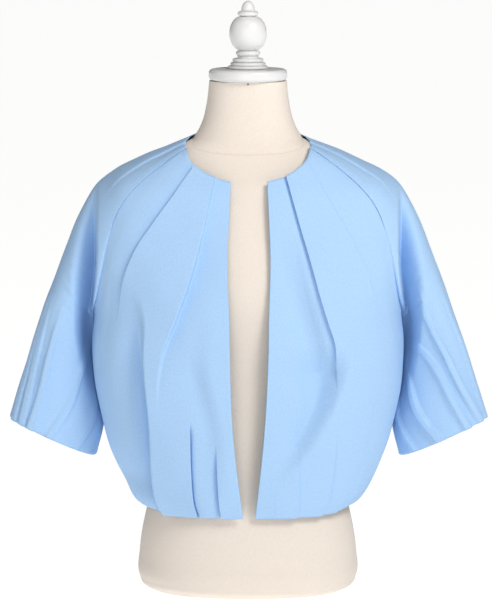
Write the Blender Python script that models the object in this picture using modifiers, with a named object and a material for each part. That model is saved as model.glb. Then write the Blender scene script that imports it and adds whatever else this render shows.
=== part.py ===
"""A cropped raglan jacket with pleated fronts, resting on a limbless dress form.

Metres, +Z up. The front faces -Y. Right and left are the wearer's, so right is -X.
The origin is on the floor, under the middle of the form.
"""
import math
from collections import namedtuple

import bpy
import numpy as np

COLLECTION = "cropped_jacket_on_dress_form"
FRONT, BACK = -1, 1
RIGHT, LEFT = -1, 1

CLOTH = 0.0012
SEAM_GAP = 0.00055
PLEAT_LIP = 0.0016
SEAM_QUIET = 0.014

# Level oval rings of the jacket's outer face, hem to neck. Depths are from the side seams.
Ring = namedtuple("Ring", "height half_width front back")
JACKET_POWER = 2.4
JACKET_RINGS = (
    Ring(0.1200, 0.1510, 0.1240, 0.1240),
    Ring(0.1400, 0.1680, 0.1310, 0.1330),
    Ring(0.1700, 0.1840, 0.1365, 0.1420),
    Ring(0.2100, 0.2010, 0.1400, 0.1500),
    Ring(0.2600, 0.2145, 0.1420, 0.1540),
    Ring(0.3200, 0.2245, 0.1430, 0.1530),
    Ring(0.3700, 0.2260, 0.1425, 0.1480),
    Ring(0.4050, 0.2225, 0.1400, 0.1430),
    Ring(0.4400, 0.2260, 0.1360, 0.1380),
    Ring(0.4800, 0.2340, 0.1285, 0.1330),
    Ring(0.5300, 0.2355, 0.1150, 0.1260),
    Ring(0.5600, 0.2310, 0.1060, 0.1190),
    Ring(0.5900, 0.2185, 0.0960, 0.1090),
    Ring(0.6085, 0.1943, 0.0870, 0.1000),
    Ring(0.6260, 0.1600, 0.0790, 0.0920),
    Ring(0.6436, 0.1210, 0.0690, 0.0820),
    Ring(0.6550, 0.0920, 0.0610, 0.0740),
    Ring(0.6610, 0.0800, 0.0570, 0.0715),
)

# The hem is level in front and behind, and lifts towards the side seams.
HEM_HEIGHT = 0.1215
HEM_SIDE_LIFT = 0.0150
HEM_LIFT_FROM = math.radians(42)
HEM_LIFT_TO = math.radians(86)

# Front neckline: half an oval in the front view. The back neckline is nearly level.
NECK_HALF_WIDTH = 0.0885
NECK_SIDE_HEIGHT = 0.6475
NECK_FRONT_DROP = 0.0475
NECK_BACK_HEIGHT = 0.6600

# Sections along a sleeve, neck to hem. Each runs from the front seam over the top line to the
# back seam. The first ten start on the jacket's rings, at the raglan seams. The last four hang free
# and start at the under-arm line. Roundness turns a raglan section into a tube.
Section = namedtuple(
    "Section",
    "top_x top_y top_z front_x front_z back_x back_z under_y half_depth fullness roundness")
SLEEVE_SECTIONS = (
    Section(0.0835, 0.012, 0.6575, 0.0885, 0.6475, 0.0600, 0.6590, 0.000, 0.070, 0.22, 0.00),
    Section(0.1050, 0.012, 0.6495, 0.1120, 0.6320, 0.0900, 0.6400, 0.000, 0.070, 0.30, 0.00),
    Section(0.1350, 0.012, 0.6375, 0.1370, 0.6130, 0.1220, 0.6175, 0.000, 0.070, 0.34, 0.00),
    Section(0.1650, 0.012, 0.6235, 0.1610, 0.5920, 0.1500, 0.5940, 0.000, 0.072, 0.36, 0.00),
    Section(0.1930, 0.012, 0.6090, 0.1815, 0.5660, 0.1740, 0.5670, 0.000, 0.074, 0.36, 0.00),
    Section(0.2160, 0.012, 0.5920, 0.1955, 0.5350, 0.1920, 0.5360, 0.000, 0.076, 0.36, 0.04),
    Section(0.2330, 0.012, 0.5680, 0.2045, 0.5030, 0.2040, 0.5030, 0.000, 0.077, 0.36, 0.10),
    Section(0.2465, 0.013, 0.5400, 0.2105, 0.4700, 0.2105, 0.4700, 0.000, 0.077, 0.36, 0.19),
    Section(0.2595, 0.014, 0.5080, 0.2170, 0.4360, 0.2170, 0.4360, 0.000, 0.076, 0.36, 0.36),
    Section(0.2730, 0.015, 0.4720, 0.2238, 0.4050, 0.2238, 0.4050, 0.000, 0.075, 0.36, 0.66),
    Section(0.2905, 0.016, 0.4250, 0.2252, 0.3550, 0.2252, 0.3550, 0.048, 0.073, 0.36, 1.00),
    Section(0.3090, 0.017, 0.3720, 0.2215, 0.3000, 0.2215, 0.3000, 0.056, 0.071, 0.36, 1.00),
    Section(0.3290, 0.018, 0.3080, 0.2120, 0.2420, 0.2120, 0.2420, 0.056, 0.069, 0.36, 1.00),
    Section(0.3455, 0.018, 0.2520, 0.2225, 0.1910, 0.2225, 0.1910, 0.048, 0.066, 0.36, 1.00),
)
SLEEVE_HALF_ROUND = 0.160
UNDERARM_ROW = 9
SEAM_ROWS = np.append(np.arange(UNDERARM_ROW), [UNDERARM_ROW - 0.5, UNDERARM_ROW])
HEM_ROW = len(SLEEVE_SECTIONS) - 1

# Below the shoulder point the sleeve cloth drops behind an edge, into a crevice beside the body.
# Its floor is a depth in front of the side seams, and its share says how fully the cloth gets there.
Crevice = namedtuple("Crevice", "height edge width floor share")
CREVICE_ROWS = (
    Crevice(0.280, 0.2165, 0.018, -0.040, 0.0),
    Crevice(0.330, 0.2250, 0.020, -0.034, 0.5),
    Crevice(0.370, 0.2275, 0.024, -0.024, 0.9),
    Crevice(0.405, 0.2255, 0.028, -0.012, 1.0),
    Crevice(0.430, 0.2205, 0.034, -0.004, 1.0),
    Crevice(0.480, 0.2145, 0.042, 0.006, 1.0),
    Crevice(0.530, 0.2140, 0.042, 0.012, 0.9),
    Crevice(0.575, 0.2140, 0.038, 0.008, 0.6),
    Crevice(0.610, 0.2140, 0.034, 0.000, 0.0),
)
CREVICE_STEEP = 0.0060
BACK_CREVICE_FLOOR = 0.0550

# The sections from which the whole of the cloth beside the body hangs behind its side.
BEHIND_FROM, BEHIND_TO = 8.6, 9.3

# How squarely a section bends, below 1 for a flatter front, and how far along the sleeve its
# sections are averaged: from which section, and how far from the seam.
SECTION_SQUARE = 0.65
SETTLE_SHIFTS = np.linspace(-1.6, 1.6, 9)
SETTLE_REACH = 0.8
SETTLE_FROM = 5
SETTLE_PLACE = 0.22

# Folds of a front or back: shares of the half width at five even steps from the top edge down to
# the hem, then where along that way the fold grows, is whole and has gone.
# Over is 1 where the cloth on the side-seam side lies on top, and -1 where the centre side does.
Fold = namedtuple(
    "Fold",
    "name top upper middle lower hem grows whole until gone height run dip dip_run over")
CENTRE_EDGE = {RIGHT: (.106, .127, .116, .102, .051), LEFT: (.118, .138, .130, .111, .067)}
FRONT_FOLDS = {
    RIGHT: (
        Fold("hem tuck", .125, .170, .300, .224, .247, .55, .80, 1.0, 1.1, .0040, .030, .004, .012, -1),
        Fold("hem slit", .160, .240, .385, .392, .473, .66, .78, 1.0, 1.1, .0036, .028, .004, .008, 1),
        Fold("neck pleat", .198, .322, .526, .600, .616, -1., .00, .28, .60, .0045, .040, .002, .012, 1),
        Fold("drape", .260, .500, .645, .672, .775, .30, .48, 1.0, 1.1, .0035, .040, .009, .022, -1),
        Fold("raglan pleat", .321, .687, .885, .900, .910, -1., .00, .20, .46, .0035, .040, .002, .012, -1),
    ),
    LEFT: (
        Fold("hem tuck", .150, .190, .200, .160, .239, .66, .85, 1.0, 1.1, .0026, .022, .002, .012, -1),
        Fold("hem pleat", .190, .260, .300, .312, .465, .58, .78, 1.0, 1.1, .0030, .030, .003, .010, -1),
        Fold("neck pleat", .230, .380, .535, .515, .570, -1., .00, .42, .58, .0050, .045, .003, .014, 1),
        Fold("low drape", .270, .470, .630, .600, .705, .46, .62, 1.0, 1.1, .0030, .035, .004, .020, 1),
        Fold("side drape", .310, .600, .770, .840, .845, .60, .78, 1.0, 1.1, .0030, .030, .005, .018, -1),
        Fold("raglan pleat", .351, .730, .860, .905, .920, -1., .00, .20, .46, .0024, .035, .001, .012, -1),
    ),
}
BACK_FOLDS = (
    Fold("hem tuck", .070, .120, .170, .200, .250, .58, .80, 1.0, 1.1, .0034, .030, .003, .012, -1),
    Fold("neck pleat", .120, .220, .380, .480, .530, -1., .00, .28, .58, .0042, .040, .002, .012, 1),
    Fold("hem pleat", .160, .360, .560, .640, .700, .52, .74, 1.0, 1.1, .0036, .032, .004, .014, 1),
    Fold("raglan pleat", .200, .520, .760, .840, .870, -1., .00, .22, .48, .0034, .040, .002, .012, -1),
)

# The column of cloth that leaves the neckline at its raglan seam: its share of the half width at
# the hem, and how fast it swings out to run beside the seam. Shares above the widest ring are of
# that ring.
CORNER_HEM = 0.957
CORNER_SWING = 4.0
WIDEST_HEIGHT = 0.53

# Pleats of a sleeve: how far round from its seam (0) to its top line (1), at the under-arm section
# and at the hem, the section where the pleat grows and the one from which it is whole.
# Over is 1 where the cloth on the top-line side lies on top.
SleevePleat = namedtuple("SleevePleat", "name at_arm at_hem grows whole height run dip dip_run over")
FRONT_PLEATS = {
    RIGHT: (
        SleevePleat("inner fold", .04, .317, 11.4, 12.4, .0014, .015, .002, .008, -1),
        SleevePleat("thin fold", .08, .530, 10.6, 12.0, .0016, .020, .002, .008, -1),
        SleevePleat("main pleat", .60, .678, 9.6, 11.0, .0028, .024, .003, .008, -1),
        SleevePleat("outer pleat", .84, .750, 10.0, 11.4, .0024, .018, .003, .008, -1),
        SleevePleat("edge pleat", .895, .838, 9.6, 11.0, .0024, .018, .003, .008, -1),
    ),
    LEFT: (
        SleevePleat("seam fold", .03, .258, 11.4, 12.4, .0024, .018, .003, .008, 1),
        SleevePleat("inner fold", .07, .470, 10.8, 12.0, .0026, .020, .003, .008, 1),
        SleevePleat("middle pleat", .15, .700, 10.4, 11.8, .0028, .024, .003, .008, 1),
        SleevePleat("main pleat", .46, .825, 9.2, 10.4, .0028, .024, .003, .008, 1),
        SleevePleat("edge pleat", .81, .910, 9.6, 11.0, .0020, .018, .003, .008, -1),
    ),
}
BACK_PLEATS = (
    SleevePleat("inner fold", .12, .24, 11.2, 12.4, .0028, .024, .002, .010, 1),
    SleevePleat("main pleat", .36, .52, 10.0, 11.6, .0034, .032, .003, .010, -1),
    SleevePleat("outer pleat", .66, .76, 9.8, 11.4, .0030, .024, .002, .008, -1),
)

# How finely the cloth is divided: rows of a front or back, rows of a sleeve, and the widest gaps
# between columns, as shares of the half width and of the way round a sleeve.
BODY_ROWS = 14
COLUMN_GAP = 0.17
HANGING_ROWS = 8
SLEEVE_ROWS = np.append(SEAM_ROWS, np.linspace(UNDERARM_ROW, HEM_ROW, HANGING_ROWS + 1)[1:])
SLEEVE_GAP = 0.19
SEAM_SAMPLES = 200

# Steps over which the slope of a surface is measured: up a ring and along a sleeve's sections.
HEIGHT_STEP = 0.001
SECTION_STEP = 0.002
SEAM_STEP = 0.02

# Level oval rings of the linen form, base to neck. Its shoulders carry the jacket.
FORM_POWER = 2.3
FORM_SIDES = 36
FORM_RINGS = (
    Ring(0.0000, 0.1380, 0.0980, 0.0960),
    Ring(0.0060, 0.1500, 0.1100, 0.1075),
    Ring(0.0200, 0.1580, 0.1180, 0.1155),
    Ring(0.0550, 0.1580, 0.1185, 0.1170),
    Ring(0.0900, 0.1535, 0.1175, 0.1170),
    Ring(0.1220, 0.1465, 0.1155, 0.1145),
    Ring(0.1700, 0.1350, 0.1145, 0.1060),
    Ring(0.2300, 0.1235, 0.1135, 0.0940),
    Ring(0.2900, 0.1190, 0.1130, 0.0850),
    Ring(0.3400, 0.1260, 0.1150, 0.0850),
    Ring(0.3900, 0.1400, 0.1195, 0.0900),
    Ring(0.4300, 0.1500, 0.1215, 0.0960),
    Ring(0.4800, 0.1620, 0.1150, 0.1020),
    Ring(0.5300, 0.1750, 0.1030, 0.1050),
    Ring(0.5700, 0.1840, 0.0915, 0.1020),
    Ring(0.5950, 0.1850, 0.0830, 0.0960),
    Ring(0.6070, 0.1785, 0.0750, 0.0870),
    Ring(0.6215, 0.1615, 0.0660, 0.0780),
    Ring(0.6355, 0.1339, 0.0580, 0.0690),
    Ring(0.6475, 0.1039, 0.0545, 0.0640),
    Ring(0.6550, 0.0825, 0.0535, 0.0620),
    Ring(0.6640, 0.0747, 0.0520, 0.0595),
    Ring(0.6815, 0.0660, 0.0500, 0.0565),
    Ring(0.7050, 0.0600, 0.0485, 0.0545),
    Ring(0.7400, 0.0558, 0.0470, 0.0530),
)

# White turned pieces on the neck.
CAP_BOTTOM = 0.7403
CAP_TOP = 0.7570
CAP_RADIUS = 0.0566
CAP_ROUNDING = 0.0060
FINIAL_BOTTOM = 0.7573
# A bead's outline swells from its edge radius to its full radius. Lean is how many degrees of a
# half turn each way the swelling covers.
Bead = namedtuple("Bead", "name top bottom edge_radius full_radius lean points")
FINIAL_BEADS = (
    Bead("collar", 0.8405, 0.8325, 0.0085, 0.0152, 90, 5),
    Bead("ball", 0.8325, 0.7835, 0.0100, 0.0270, 78, 9),
    Bead("lower collar", 0.7835, 0.7755, 0.0125, 0.0177, 90, 5),
    Bead("waist", 0.7755, 0.7725, 0.0148, 0.0150, 90, 5),
    Bead("upper step", 0.7725, 0.7665, 0.0185, 0.0225, 90, 5),
    Bead("lower step", 0.7665, 0.7615, 0.0235, 0.0254, 90, 5),
    Bead("foot", 0.7615, FINIAL_BOTTOM, 0.0270, 0.0290, 90, 5),
)
FINIAL_TOP = 0.8550
FINIAL_TIP_RADIUS = 0.0097
TURNED_SIDES = 20
ROUNDING_POINTS = 5

SKY_COTTON = ("sky_blue_cotton", (0.42, 0.66, 0.95), 0.75)
LINEN = ("natural_linen", (0.86, 0.76, 0.65), 0.85)
WHITE_PAINT = ("white_painted_wood", (0.90, 0.90, 0.91), 0.35)


def curve_through(stations, values):
    """A smooth function through a table's values at its stations."""
    stations = np.asarray(stations, dtype=float)
    values = np.asarray(values, dtype=float)
    slopes = np.gradient(values, stations)

    def at(place):
        place = np.clip(place, stations[0], stations[-1])
        low = np.clip(np.searchsorted(stations, place, side="right") - 1, 0, len(stations) - 2)
        span = stations[low + 1] - stations[low]
        t = (place - stations[low]) / span
        return (values[low] * (1 + 2 * t) * (1 - t) ** 2
                + slopes[low] * span * t * (1 - t) ** 2
                + values[low + 1] * t * t * (3 - 2 * t)
                + slopes[low + 1] * span * t * t * (t - 1))

    return at


def table_columns(table, station=None):
    """Each named column of a table as a smooth function of its station column or row number."""
    stations = [getattr(row, station) for row in table] if station else range(len(table))
    return {name: curve_through(stations, [getattr(row, name) for row in table])
            for name in table[0]._fields if name != station}


def ease(t):
    """Goes smoothly from 0 to 1 as t does."""
    t = np.clip(t, 0, 1)
    return t * t * (3 - 2 * t)


def unit(vectors):
    return vectors / np.maximum(np.linalg.norm(vectors, axis=-1, keepdims=True), 1e-12)


JACKET = table_columns(JACKET_RINGS, "height")
SLEEVE = table_columns(SLEEVE_SECTIONS)
CREVICE = table_columns(CREVICE_ROWS, "height")


def jacket_depth(face, height):
    return JACKET["front" if face == FRONT else "back"](height)


def jacket_point(angle, height, side, face):
    """A point of the jacket's ring at an angle from the centre line, 90 degrees at the side."""
    across = np.clip(np.sin(angle), 0, 1) ** (2 / JACKET_POWER)
    deep = np.clip(np.cos(angle), 0, 1) ** (2 / JACKET_POWER)
    x = side * JACKET["half_width"](height) * across
    y = face * jacket_depth(face, height) * deep
    return np.stack([x, y, height + 0 * x], axis=-1)


def jacket_normal(angle, height, side, face):
    """The outward direction there, from the slope of the rings' oval."""
    above, below = height + HEIGHT_STEP, height - HEIGHT_STEP
    power = 2 * (JACKET_POWER - 1) / JACKET_POWER
    sine = np.clip(np.sin(angle), 0, 1)
    cosine = np.clip(np.cos(angle), 0, 1)
    width = JACKET["half_width"](height)
    depth = jacket_depth(face, height)
    width_slope = (JACKET["half_width"](above) - JACKET["half_width"](below)) / (2 * HEIGHT_STEP)
    depth_slope = (jacket_depth(face, above) - jacket_depth(face, below)) / (2 * HEIGHT_STEP)
    lean = -(sine ** 2 * width_slope / width + cosine ** 2 * depth_slope / depth)
    return unit(np.stack([side * sine ** power / width, face * cosine ** power / depth, lean], axis=-1))


def jacket_angle(x, height):
    """The angle at which a ring is x from the middle."""
    across = np.clip(x / JACKET["half_width"](height), 0, 1)
    return np.arcsin(across ** (JACKET_POWER / 2))


def neckline_height(face, x):
    """The height of the neckline at x from the middle."""
    if face == BACK:
        return np.full_like(x, NECK_BACK_HEIGHT)
    across = np.clip(x / NECK_HALF_WIDTH, 0, 1)
    return NECK_SIDE_HEIGHT - NECK_FRONT_DROP * np.sqrt(1 - across ** 2)


def hem_height(angle):
    return HEM_HEIGHT + HEM_SIDE_LIFT * ease((angle - HEM_LIFT_FROM) / (HEM_LIFT_TO - HEM_LIFT_FROM))


def raglan_seam(face, rows):
    """Angles and heights of a raglan seam on the jacket's rings, neck to under-arm."""
    name = "front" if face == FRONT else "back"
    heights = SLEEVE[name + "_z"](rows)
    angles = jacket_angle(SLEEVE[name + "_x"](rows), heights)
    return np.where(rows >= UNDERARM_ROW, math.pi / 2, angles), heights


def fold_height(distance, height, run, dip, dip_run):
    """A pleat's lift at a distance from its edge: a lip, a long fall behind it, a dip before it."""
    on_top = ease(distance / PLEAT_LIP + 0.5)
    crown = height * np.exp(-np.maximum(distance, 0) / run)
    foot = dip * np.exp(np.minimum(distance, 0) / dip_run)
    return on_top * crown - (1 - on_top) * foot


def arc_along(points):
    """Distance along each row of a grid of points, from its first column."""
    steps = np.linalg.norm(np.diff(points, axis=1), axis=-1)
    return np.concatenate([np.zeros((len(points), 1)), np.cumsum(steps, axis=1)], axis=1)


def spread(lines, gap):
    """Columns on each guide line and, evenly, between lines whose widest gap is over a limit."""
    columns = [lines[0]]
    for near, far in zip(lines[:-1], lines[1:]):
        count = max(1, math.ceil(np.max(far - near) / gap))
        columns += [near + (far - near) * k / count for k in range(1, count + 1)]
    return np.stack(columns, axis=1)


def full_width(height):
    """The half width that shares are counted of."""
    return JACKET["half_width"](np.minimum(height, WIDEST_HEIGHT))


def corner_share(face, height):
    """The share at which the column from the neckline's raglan corner passes a height."""
    name = "front" if face == FRONT else "back"
    corner = getattr(SLEEVE_SECTIONS[0], name + "_x"), getattr(SLEEVE_SECTIONS[0], name + "_z")
    start = corner[0] / full_width(corner[1])
    down = np.clip((corner[1] - height) / (corner[1] - HEM_HEIGHT), 0, 1)
    return start + (CORNER_HEM - start) * (1 - (1 - down) ** CORNER_SWING)


def seam_columns(face, down):
    """Shares and heights of the columns that start on a raglan seam. At each level those present
    lie evenly between the corner column and the seam, or the side seam below the arm."""
    fine = np.linspace(0, UNDERARM_ROW, SEAM_SAMPLES)
    angles, heights = raglan_seam(face, fine)
    seam_shares = jacket_point(angles, heights, LEFT, face)[:, 0] / full_width(heights)
    tops = raglan_seam(face, SEAM_ROWS)[1]
    hem_shares = CORNER_HEM + (1 - CORNER_HEM) * SEAM_ROWS / UNDERARM_ROW
    hems = hem_height(np.arcsin(hem_shares ** (JACKET_POWER / 2)))
    levels = tops + (hems - tops) * down[:, None]
    outer_row = np.interp(-levels, -heights, fine)
    outer_share = np.interp(-levels, -heights, seam_shares)
    inner_share = corner_share(face, levels)
    portion = np.divide(SEAM_ROWS + 0 * levels, outer_row, out=0 * levels, where=outer_row > 0)
    return inner_share + (outer_share - inner_share) * np.minimum(portion, 1), levels


def half_body(face, side, edge, folds, rows, gap):
    """A grid of points from the centre line to the side seam, with its folds, top edge to hem."""
    down = np.linspace(0, 1, rows)
    steps = np.linspace(0, 1, 5)
    seam_shares, seam_levels = seam_columns(face, down)
    guides = [curve_through(steps, fold[1:6])(down) for fold in folds]
    half_lip = 0.5 * PLEAT_LIP / full_width(WIDEST_HEIGHT)
    lines = [curve_through(steps, edge)(down)]
    for guide in guides:
        lines += [guide - half_lip, guide + half_lip]
    neck_shares = spread(lines + [seam_shares[:, 0]], gap)[:, :-1]
    tops = neckline_height(face, neck_shares[0] * full_width(WIDEST_HEIGHT))
    hems = hem_height(np.arcsin(neck_shares[-1] ** (JACKET_POWER / 2)))
    neck_levels = tops + (hems - tops) * down[:, None]
    shares = np.concatenate([neck_shares, seam_shares], axis=1)
    heights = np.concatenate([neck_levels, seam_levels], axis=1)
    angles = jacket_angle(shares * full_width(heights), heights)
    angles[:, -1] = math.pi / 2

    points = jacket_point(angles, heights, side, face)
    normals = jacket_normal(angles, heights, side, face)
    arcs = arc_along(points)
    first_seam = neck_shares.shape[1]
    quiet = ease((arcs[:, -1:] - arcs) / SEAM_QUIET)
    below_top = np.linalg.norm(points - points[0], axis=-1)
    quiet[:, first_seam:] *= ease(below_top[:, first_seam:] / SEAM_QUIET)
    from_corner = np.hypot(arcs[:, [first_seam]] - arcs, below_top)
    quiet[:, :first_seam] *= ease(from_corner[:, :first_seam] / SEAM_QUIET)

    lift = np.zeros(arcs.shape)
    for fold, guide in zip(folds, guides):
        at = np.array([np.interp(guide[r], shares[r], arcs[r]) for r in range(rows)])
        grown = ease((down - fold.grows) / (fold.whole - fold.grows))
        left = 1 - ease((down - fold.until) / (fold.gone - fold.until))
        distance = fold.over * (arcs - at[:, None])
        shape = fold_height(distance, fold.height, fold.run, fold.dip, fold.dip_run)
        lift += (grown * left)[:, None] * shape
    points = points + normals * (lift * quiet)[..., None]

    points[:, -1, 1] += face * SEAM_GAP / 2
    seam = slice(first_seam, None)
    along = np.gradient(points[0, seam], axis=0)
    inward = unit(np.cross(normals[0, seam], along))
    off_sleeve = points[0, seam] - sleeve_top(np.array(SEAM_ROWS), side)
    inward *= np.sign(np.sum(inward * off_sleeve, axis=-1))[:, None]
    inward[-1] = (0, 0, -1)
    points[0, seam] += inward * SEAM_GAP / 2
    return points


def sleeve_top(rows, side):
    """Points of the sleeve's top line."""
    return np.stack([side * SLEEVE["top_x"](rows), SLEEVE["top_y"](rows), SLEEVE["top_z"](rows)], axis=-1)


def sleeve_controls(face, side, rows):
    """Four control points of each section's half, from its seam to its top line."""
    name = "front" if face == FRONT else "back"

    def seam_at(place):
        angle, height = raglan_seam(face, place)
        on_body = jacket_point(angle, height, side, face)
        under = np.stack([side * SLEEVE[name + "_x"](place), SLEEVE["under_y"](place), height], axis=-1)
        return np.where((place >= UNDERARM_ROW)[:, None], under, on_body), angle, height

    seam = seam_at(rows)[0]
    top = sleeve_top(rows, side)
    on_seam = np.minimum(rows, UNDERARM_ROW - SEAM_STEP)
    start, angle, height = seam_at(on_seam)
    along = unit(seam_at(on_seam + SEAM_STEP)[0] - seam_at(np.maximum(on_seam - SEAM_STEP, 0))[0])
    off_body = unit(np.cross(jacket_normal(angle, height, side, face), along))
    off_body *= np.sign(np.sum(off_body * (top - start), axis=-1))[:, None]
    out = np.array([0.0, face, 0.0])
    on_body = 1 - SLEEVE["roundness"](rows)[:, None]
    reach = (SLEEVE["fullness"](rows) * np.linalg.norm(top - seam, axis=-1))[:, None]
    seam_handle = seam + on_body * reach * off_body
    top_handle = top + on_body * reach * out
    seam = seam + np.where((rows <= UNDERARM_ROW)[:, None], off_body, 0) * SEAM_GAP / 2
    seam = seam + np.where((rows >= UNDERARM_ROW)[:, None], out, 0) * SEAM_GAP / 2
    return np.stack([seam, seam_handle, top_handle, top], axis=1)


def section_points(face, side, rows, places):
    """Points of each section at places from its seam, 0, to its top line, 1."""
    t = places[..., None]
    p0, p1, p2, p3 = (sleeve_controls(face, side, rows)[:, None, k] for k in range(4))
    points = (1 - t) ** 3 * p0 + 3 * (1 - t) ** 2 * t * p1 + 3 * (1 - t) * t * t * p2 + t ** 3 * p3
    swell = np.clip(4 * places * (1 - places), 0, 1) ** SECTION_SQUARE
    deep = (SLEEVE["roundness"](rows) * SLEEVE["half_depth"](rows))[:, None]
    points[..., 1] += face * deep * swell
    return points


def settled_sections(face, side, rows, places):
    """The sections' points, each averaged with its neighbours along the sleeve, as cloth hangs."""
    flat = section_points(face, side, rows, places)
    weights = np.exp(-0.5 * (SETTLE_SHIFTS / SETTLE_REACH) ** 2)
    settled = sum(weight * section_points(face, side, np.clip(rows + shift, 0, HEM_ROW), places)
                  for shift, weight in zip(SETTLE_SHIFTS, weights / weights.sum()))
    free = ease((rows - SETTLE_FROM) / 2) * ease((HEM_ROW - rows) / 2)
    free = free[:, None] * ease(places / SETTLE_PLACE)
    return flat + free[..., None] * (settled - flat)


def half_sleeve(face, side, pleats, rows, gap):
    """A grid of points from the sleeve's seam to its top line, with its pleats, neck to hem."""
    hang = np.clip((rows - UNDERARM_ROW) / (HEM_ROW - UNDERARM_ROW), 0, 1)
    guides = [pleat.at_arm + (pleat.at_hem - pleat.at_arm) * hang for pleat in pleats]
    half_lip = 0.5 * PLEAT_LIP / SLEEVE_HALF_ROUND
    lines = [0 * hang]
    for guide in guides:
        lines += [guide - half_lip, guide + half_lip]
    places = spread(lines + [0 * hang + 1], gap)
    points = settled_sections(face, side, rows, places)

    ahead = settled_sections(face, side, rows, np.minimum(places + SECTION_STEP, 1))
    along_row = ahead - settled_sections(face, side, rows, np.maximum(places - SECTION_STEP, 0))
    lower = settled_sections(face, side, np.minimum(rows + SECTION_STEP, HEM_ROW), places)
    along_sleeve = lower - settled_sections(face, side, np.maximum(rows - SECTION_STEP, 0), places)
    normals = unit(side * face * np.cross(along_sleeve, along_row))

    arcs = arc_along(points)
    lift = np.zeros(arcs.shape)
    for pleat, guide in zip(pleats, guides):
        at = np.array([np.interp(guide[r], places[r], arcs[r]) for r in range(len(rows))])
        grown = ease((rows - pleat.grows) / (pleat.whole - pleat.grows))
        distance = pleat.over * (arcs - at[:, None])
        lift += grown[:, None] * fold_height(distance, pleat.height, pleat.run, pleat.dip, pleat.dip_run)
    lift *= ease(arcs / SEAM_QUIET)
    points = points + normals * lift[..., None]

    height = points[..., 2]
    past_edge = side * points[..., 0] - CREVICE["edge"](height)
    behind = ease((rows - BEHIND_FROM) / (BEHIND_TO - BEHIND_FROM))[:, None]
    share = np.maximum(ease(past_edge / CREVICE_STEEP), behind)
    share = share * (1 - ease(past_edge / CREVICE["width"](height)))
    share = share * CREVICE["share"](height) * ease(arcs / SEAM_QUIET)
    floor = CREVICE["floor"](height)
    if face == BACK:
        floor = np.maximum(floor, 0) + BACK_CREVICE_FLOOR
    proud = np.maximum(face * points[..., 1] - floor, 0)
    points[..., 1] -= face * share * proud
    return points


def new_object(name, mesh, material, collection):
    piece = bpy.data.objects.new(name, mesh)
    piece.data.materials.append(material)
    collection.objects.link(piece)
    return piece


def cloth_piece(name, points, faces_out, material, collection):
    """One cut piece: an open sheet through a grid of points, thickened inwards."""
    rows, columns = points.shape[:2]
    faces = []
    for row in range(rows - 1):
        for column in range(columns - 1):
            corner = row * columns + column
            quad = (corner, corner + columns, corner + columns + 1, corner + 1)
            faces.append(quad if faces_out else quad[::-1])
    mesh = bpy.data.meshes.new(name)
    mesh.from_pydata(points.reshape(-1, 3).tolist(), [], faces)
    mesh.shade_smooth()
    piece = new_object(name, mesh, material, collection)
    wall = piece.modifiers.new("cloth", "SOLIDIFY")
    wall.thickness = CLOTH
    wall.offset = -1
    return piece


def make_front(side, material, collection):
    points = half_body(FRONT, side, CENTRE_EDGE[side], FRONT_FOLDS[side], BODY_ROWS, COLUMN_GAP)
    name = "front_right" if side == RIGHT else "front_left"
    return cloth_piece(name, points, side == LEFT, material, collection)


def make_back(material, collection):
    centre = (0, 0, 0, 0, 0)
    right = half_body(BACK, RIGHT, centre, BACK_FOLDS, BODY_ROWS, COLUMN_GAP)
    left = half_body(BACK, LEFT, centre, BACK_FOLDS, BODY_ROWS, COLUMN_GAP)
    points = np.concatenate([right[:, ::-1], left[:, 1:]], axis=1)
    return cloth_piece("back", points, False, material, collection)


def make_sleeve(side, material, collection):
    front = half_sleeve(FRONT, side, FRONT_PLEATS[side], SLEEVE_ROWS, SLEEVE_GAP)
    back = half_sleeve(BACK, side, BACK_PLEATS, SLEEVE_ROWS, SLEEVE_GAP)
    points = np.concatenate([front, back[:, -2::-1]], axis=1)
    name = "sleeve_right" if side == RIGHT else "sleeve_left"
    return cloth_piece(name, points, side == LEFT, material, collection)


def make_form(material, collection):
    """The torso and neck: a loft through its rings, with a flat base and a flat neck top."""
    rings = table_columns(FORM_RINGS, "height")
    heights = np.array([ring.height for ring in FORM_RINGS])
    turn = np.linspace(0, 2 * math.pi, FORM_SIDES, endpoint=False)
    power = 2 / FORM_POWER
    sine, cosine = np.sin(turn), np.cos(turn)
    x = rings["half_width"](heights)[:, None] * np.sign(sine) * np.abs(sine) ** power
    depth = np.where(cosine > 0, rings["front"](heights)[:, None], rings["back"](heights)[:, None])
    y = -depth * np.sign(cosine) * np.abs(cosine) ** power
    points = np.stack([x, y, heights[:, None] + 0 * x], axis=-1)
    faces = []
    for row in range(len(heights) - 1):
        for column in range(FORM_SIDES):
            beside = (column + 1) % FORM_SIDES
            low, high = row * FORM_SIDES, (row + 1) * FORM_SIDES
            faces.append((low + column, low + beside, high + beside, high + column))
    top = (len(heights) - 1) * FORM_SIDES
    faces.append(tuple(range(FORM_SIDES))[::-1])
    faces.append(tuple(range(top, top + FORM_SIDES)))
    mesh = bpy.data.meshes.new("form_torso")
    mesh.from_pydata(points.reshape(-1, 3).tolist(), [], faces)
    mesh.shade_smooth()
    mesh.set_sharp_from_angle(angle=math.radians(40))
    return new_object("form_torso", mesh, material, collection)


def turned_piece(name, profile, material, collection):
    """A profile of radius and height, from its top to its bottom, turned about the Z axis."""
    mesh = bpy.data.meshes.new(name)
    edges = [(k, k + 1) for k in range(len(profile) - 1)]
    mesh.from_pydata([(radius, 0.0, height) for radius, height in profile], edges, [])
    piece = new_object(name, mesh, material, collection)
    lathe = piece.modifiers.new("lathe", "SCREW")
    lathe.steps = lathe.render_steps = TURNED_SIDES
    lathe.use_merge_vertices = True
    lathe.merge_threshold = 0.00005
    lathe.use_smooth_shade = True
    return piece


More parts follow.
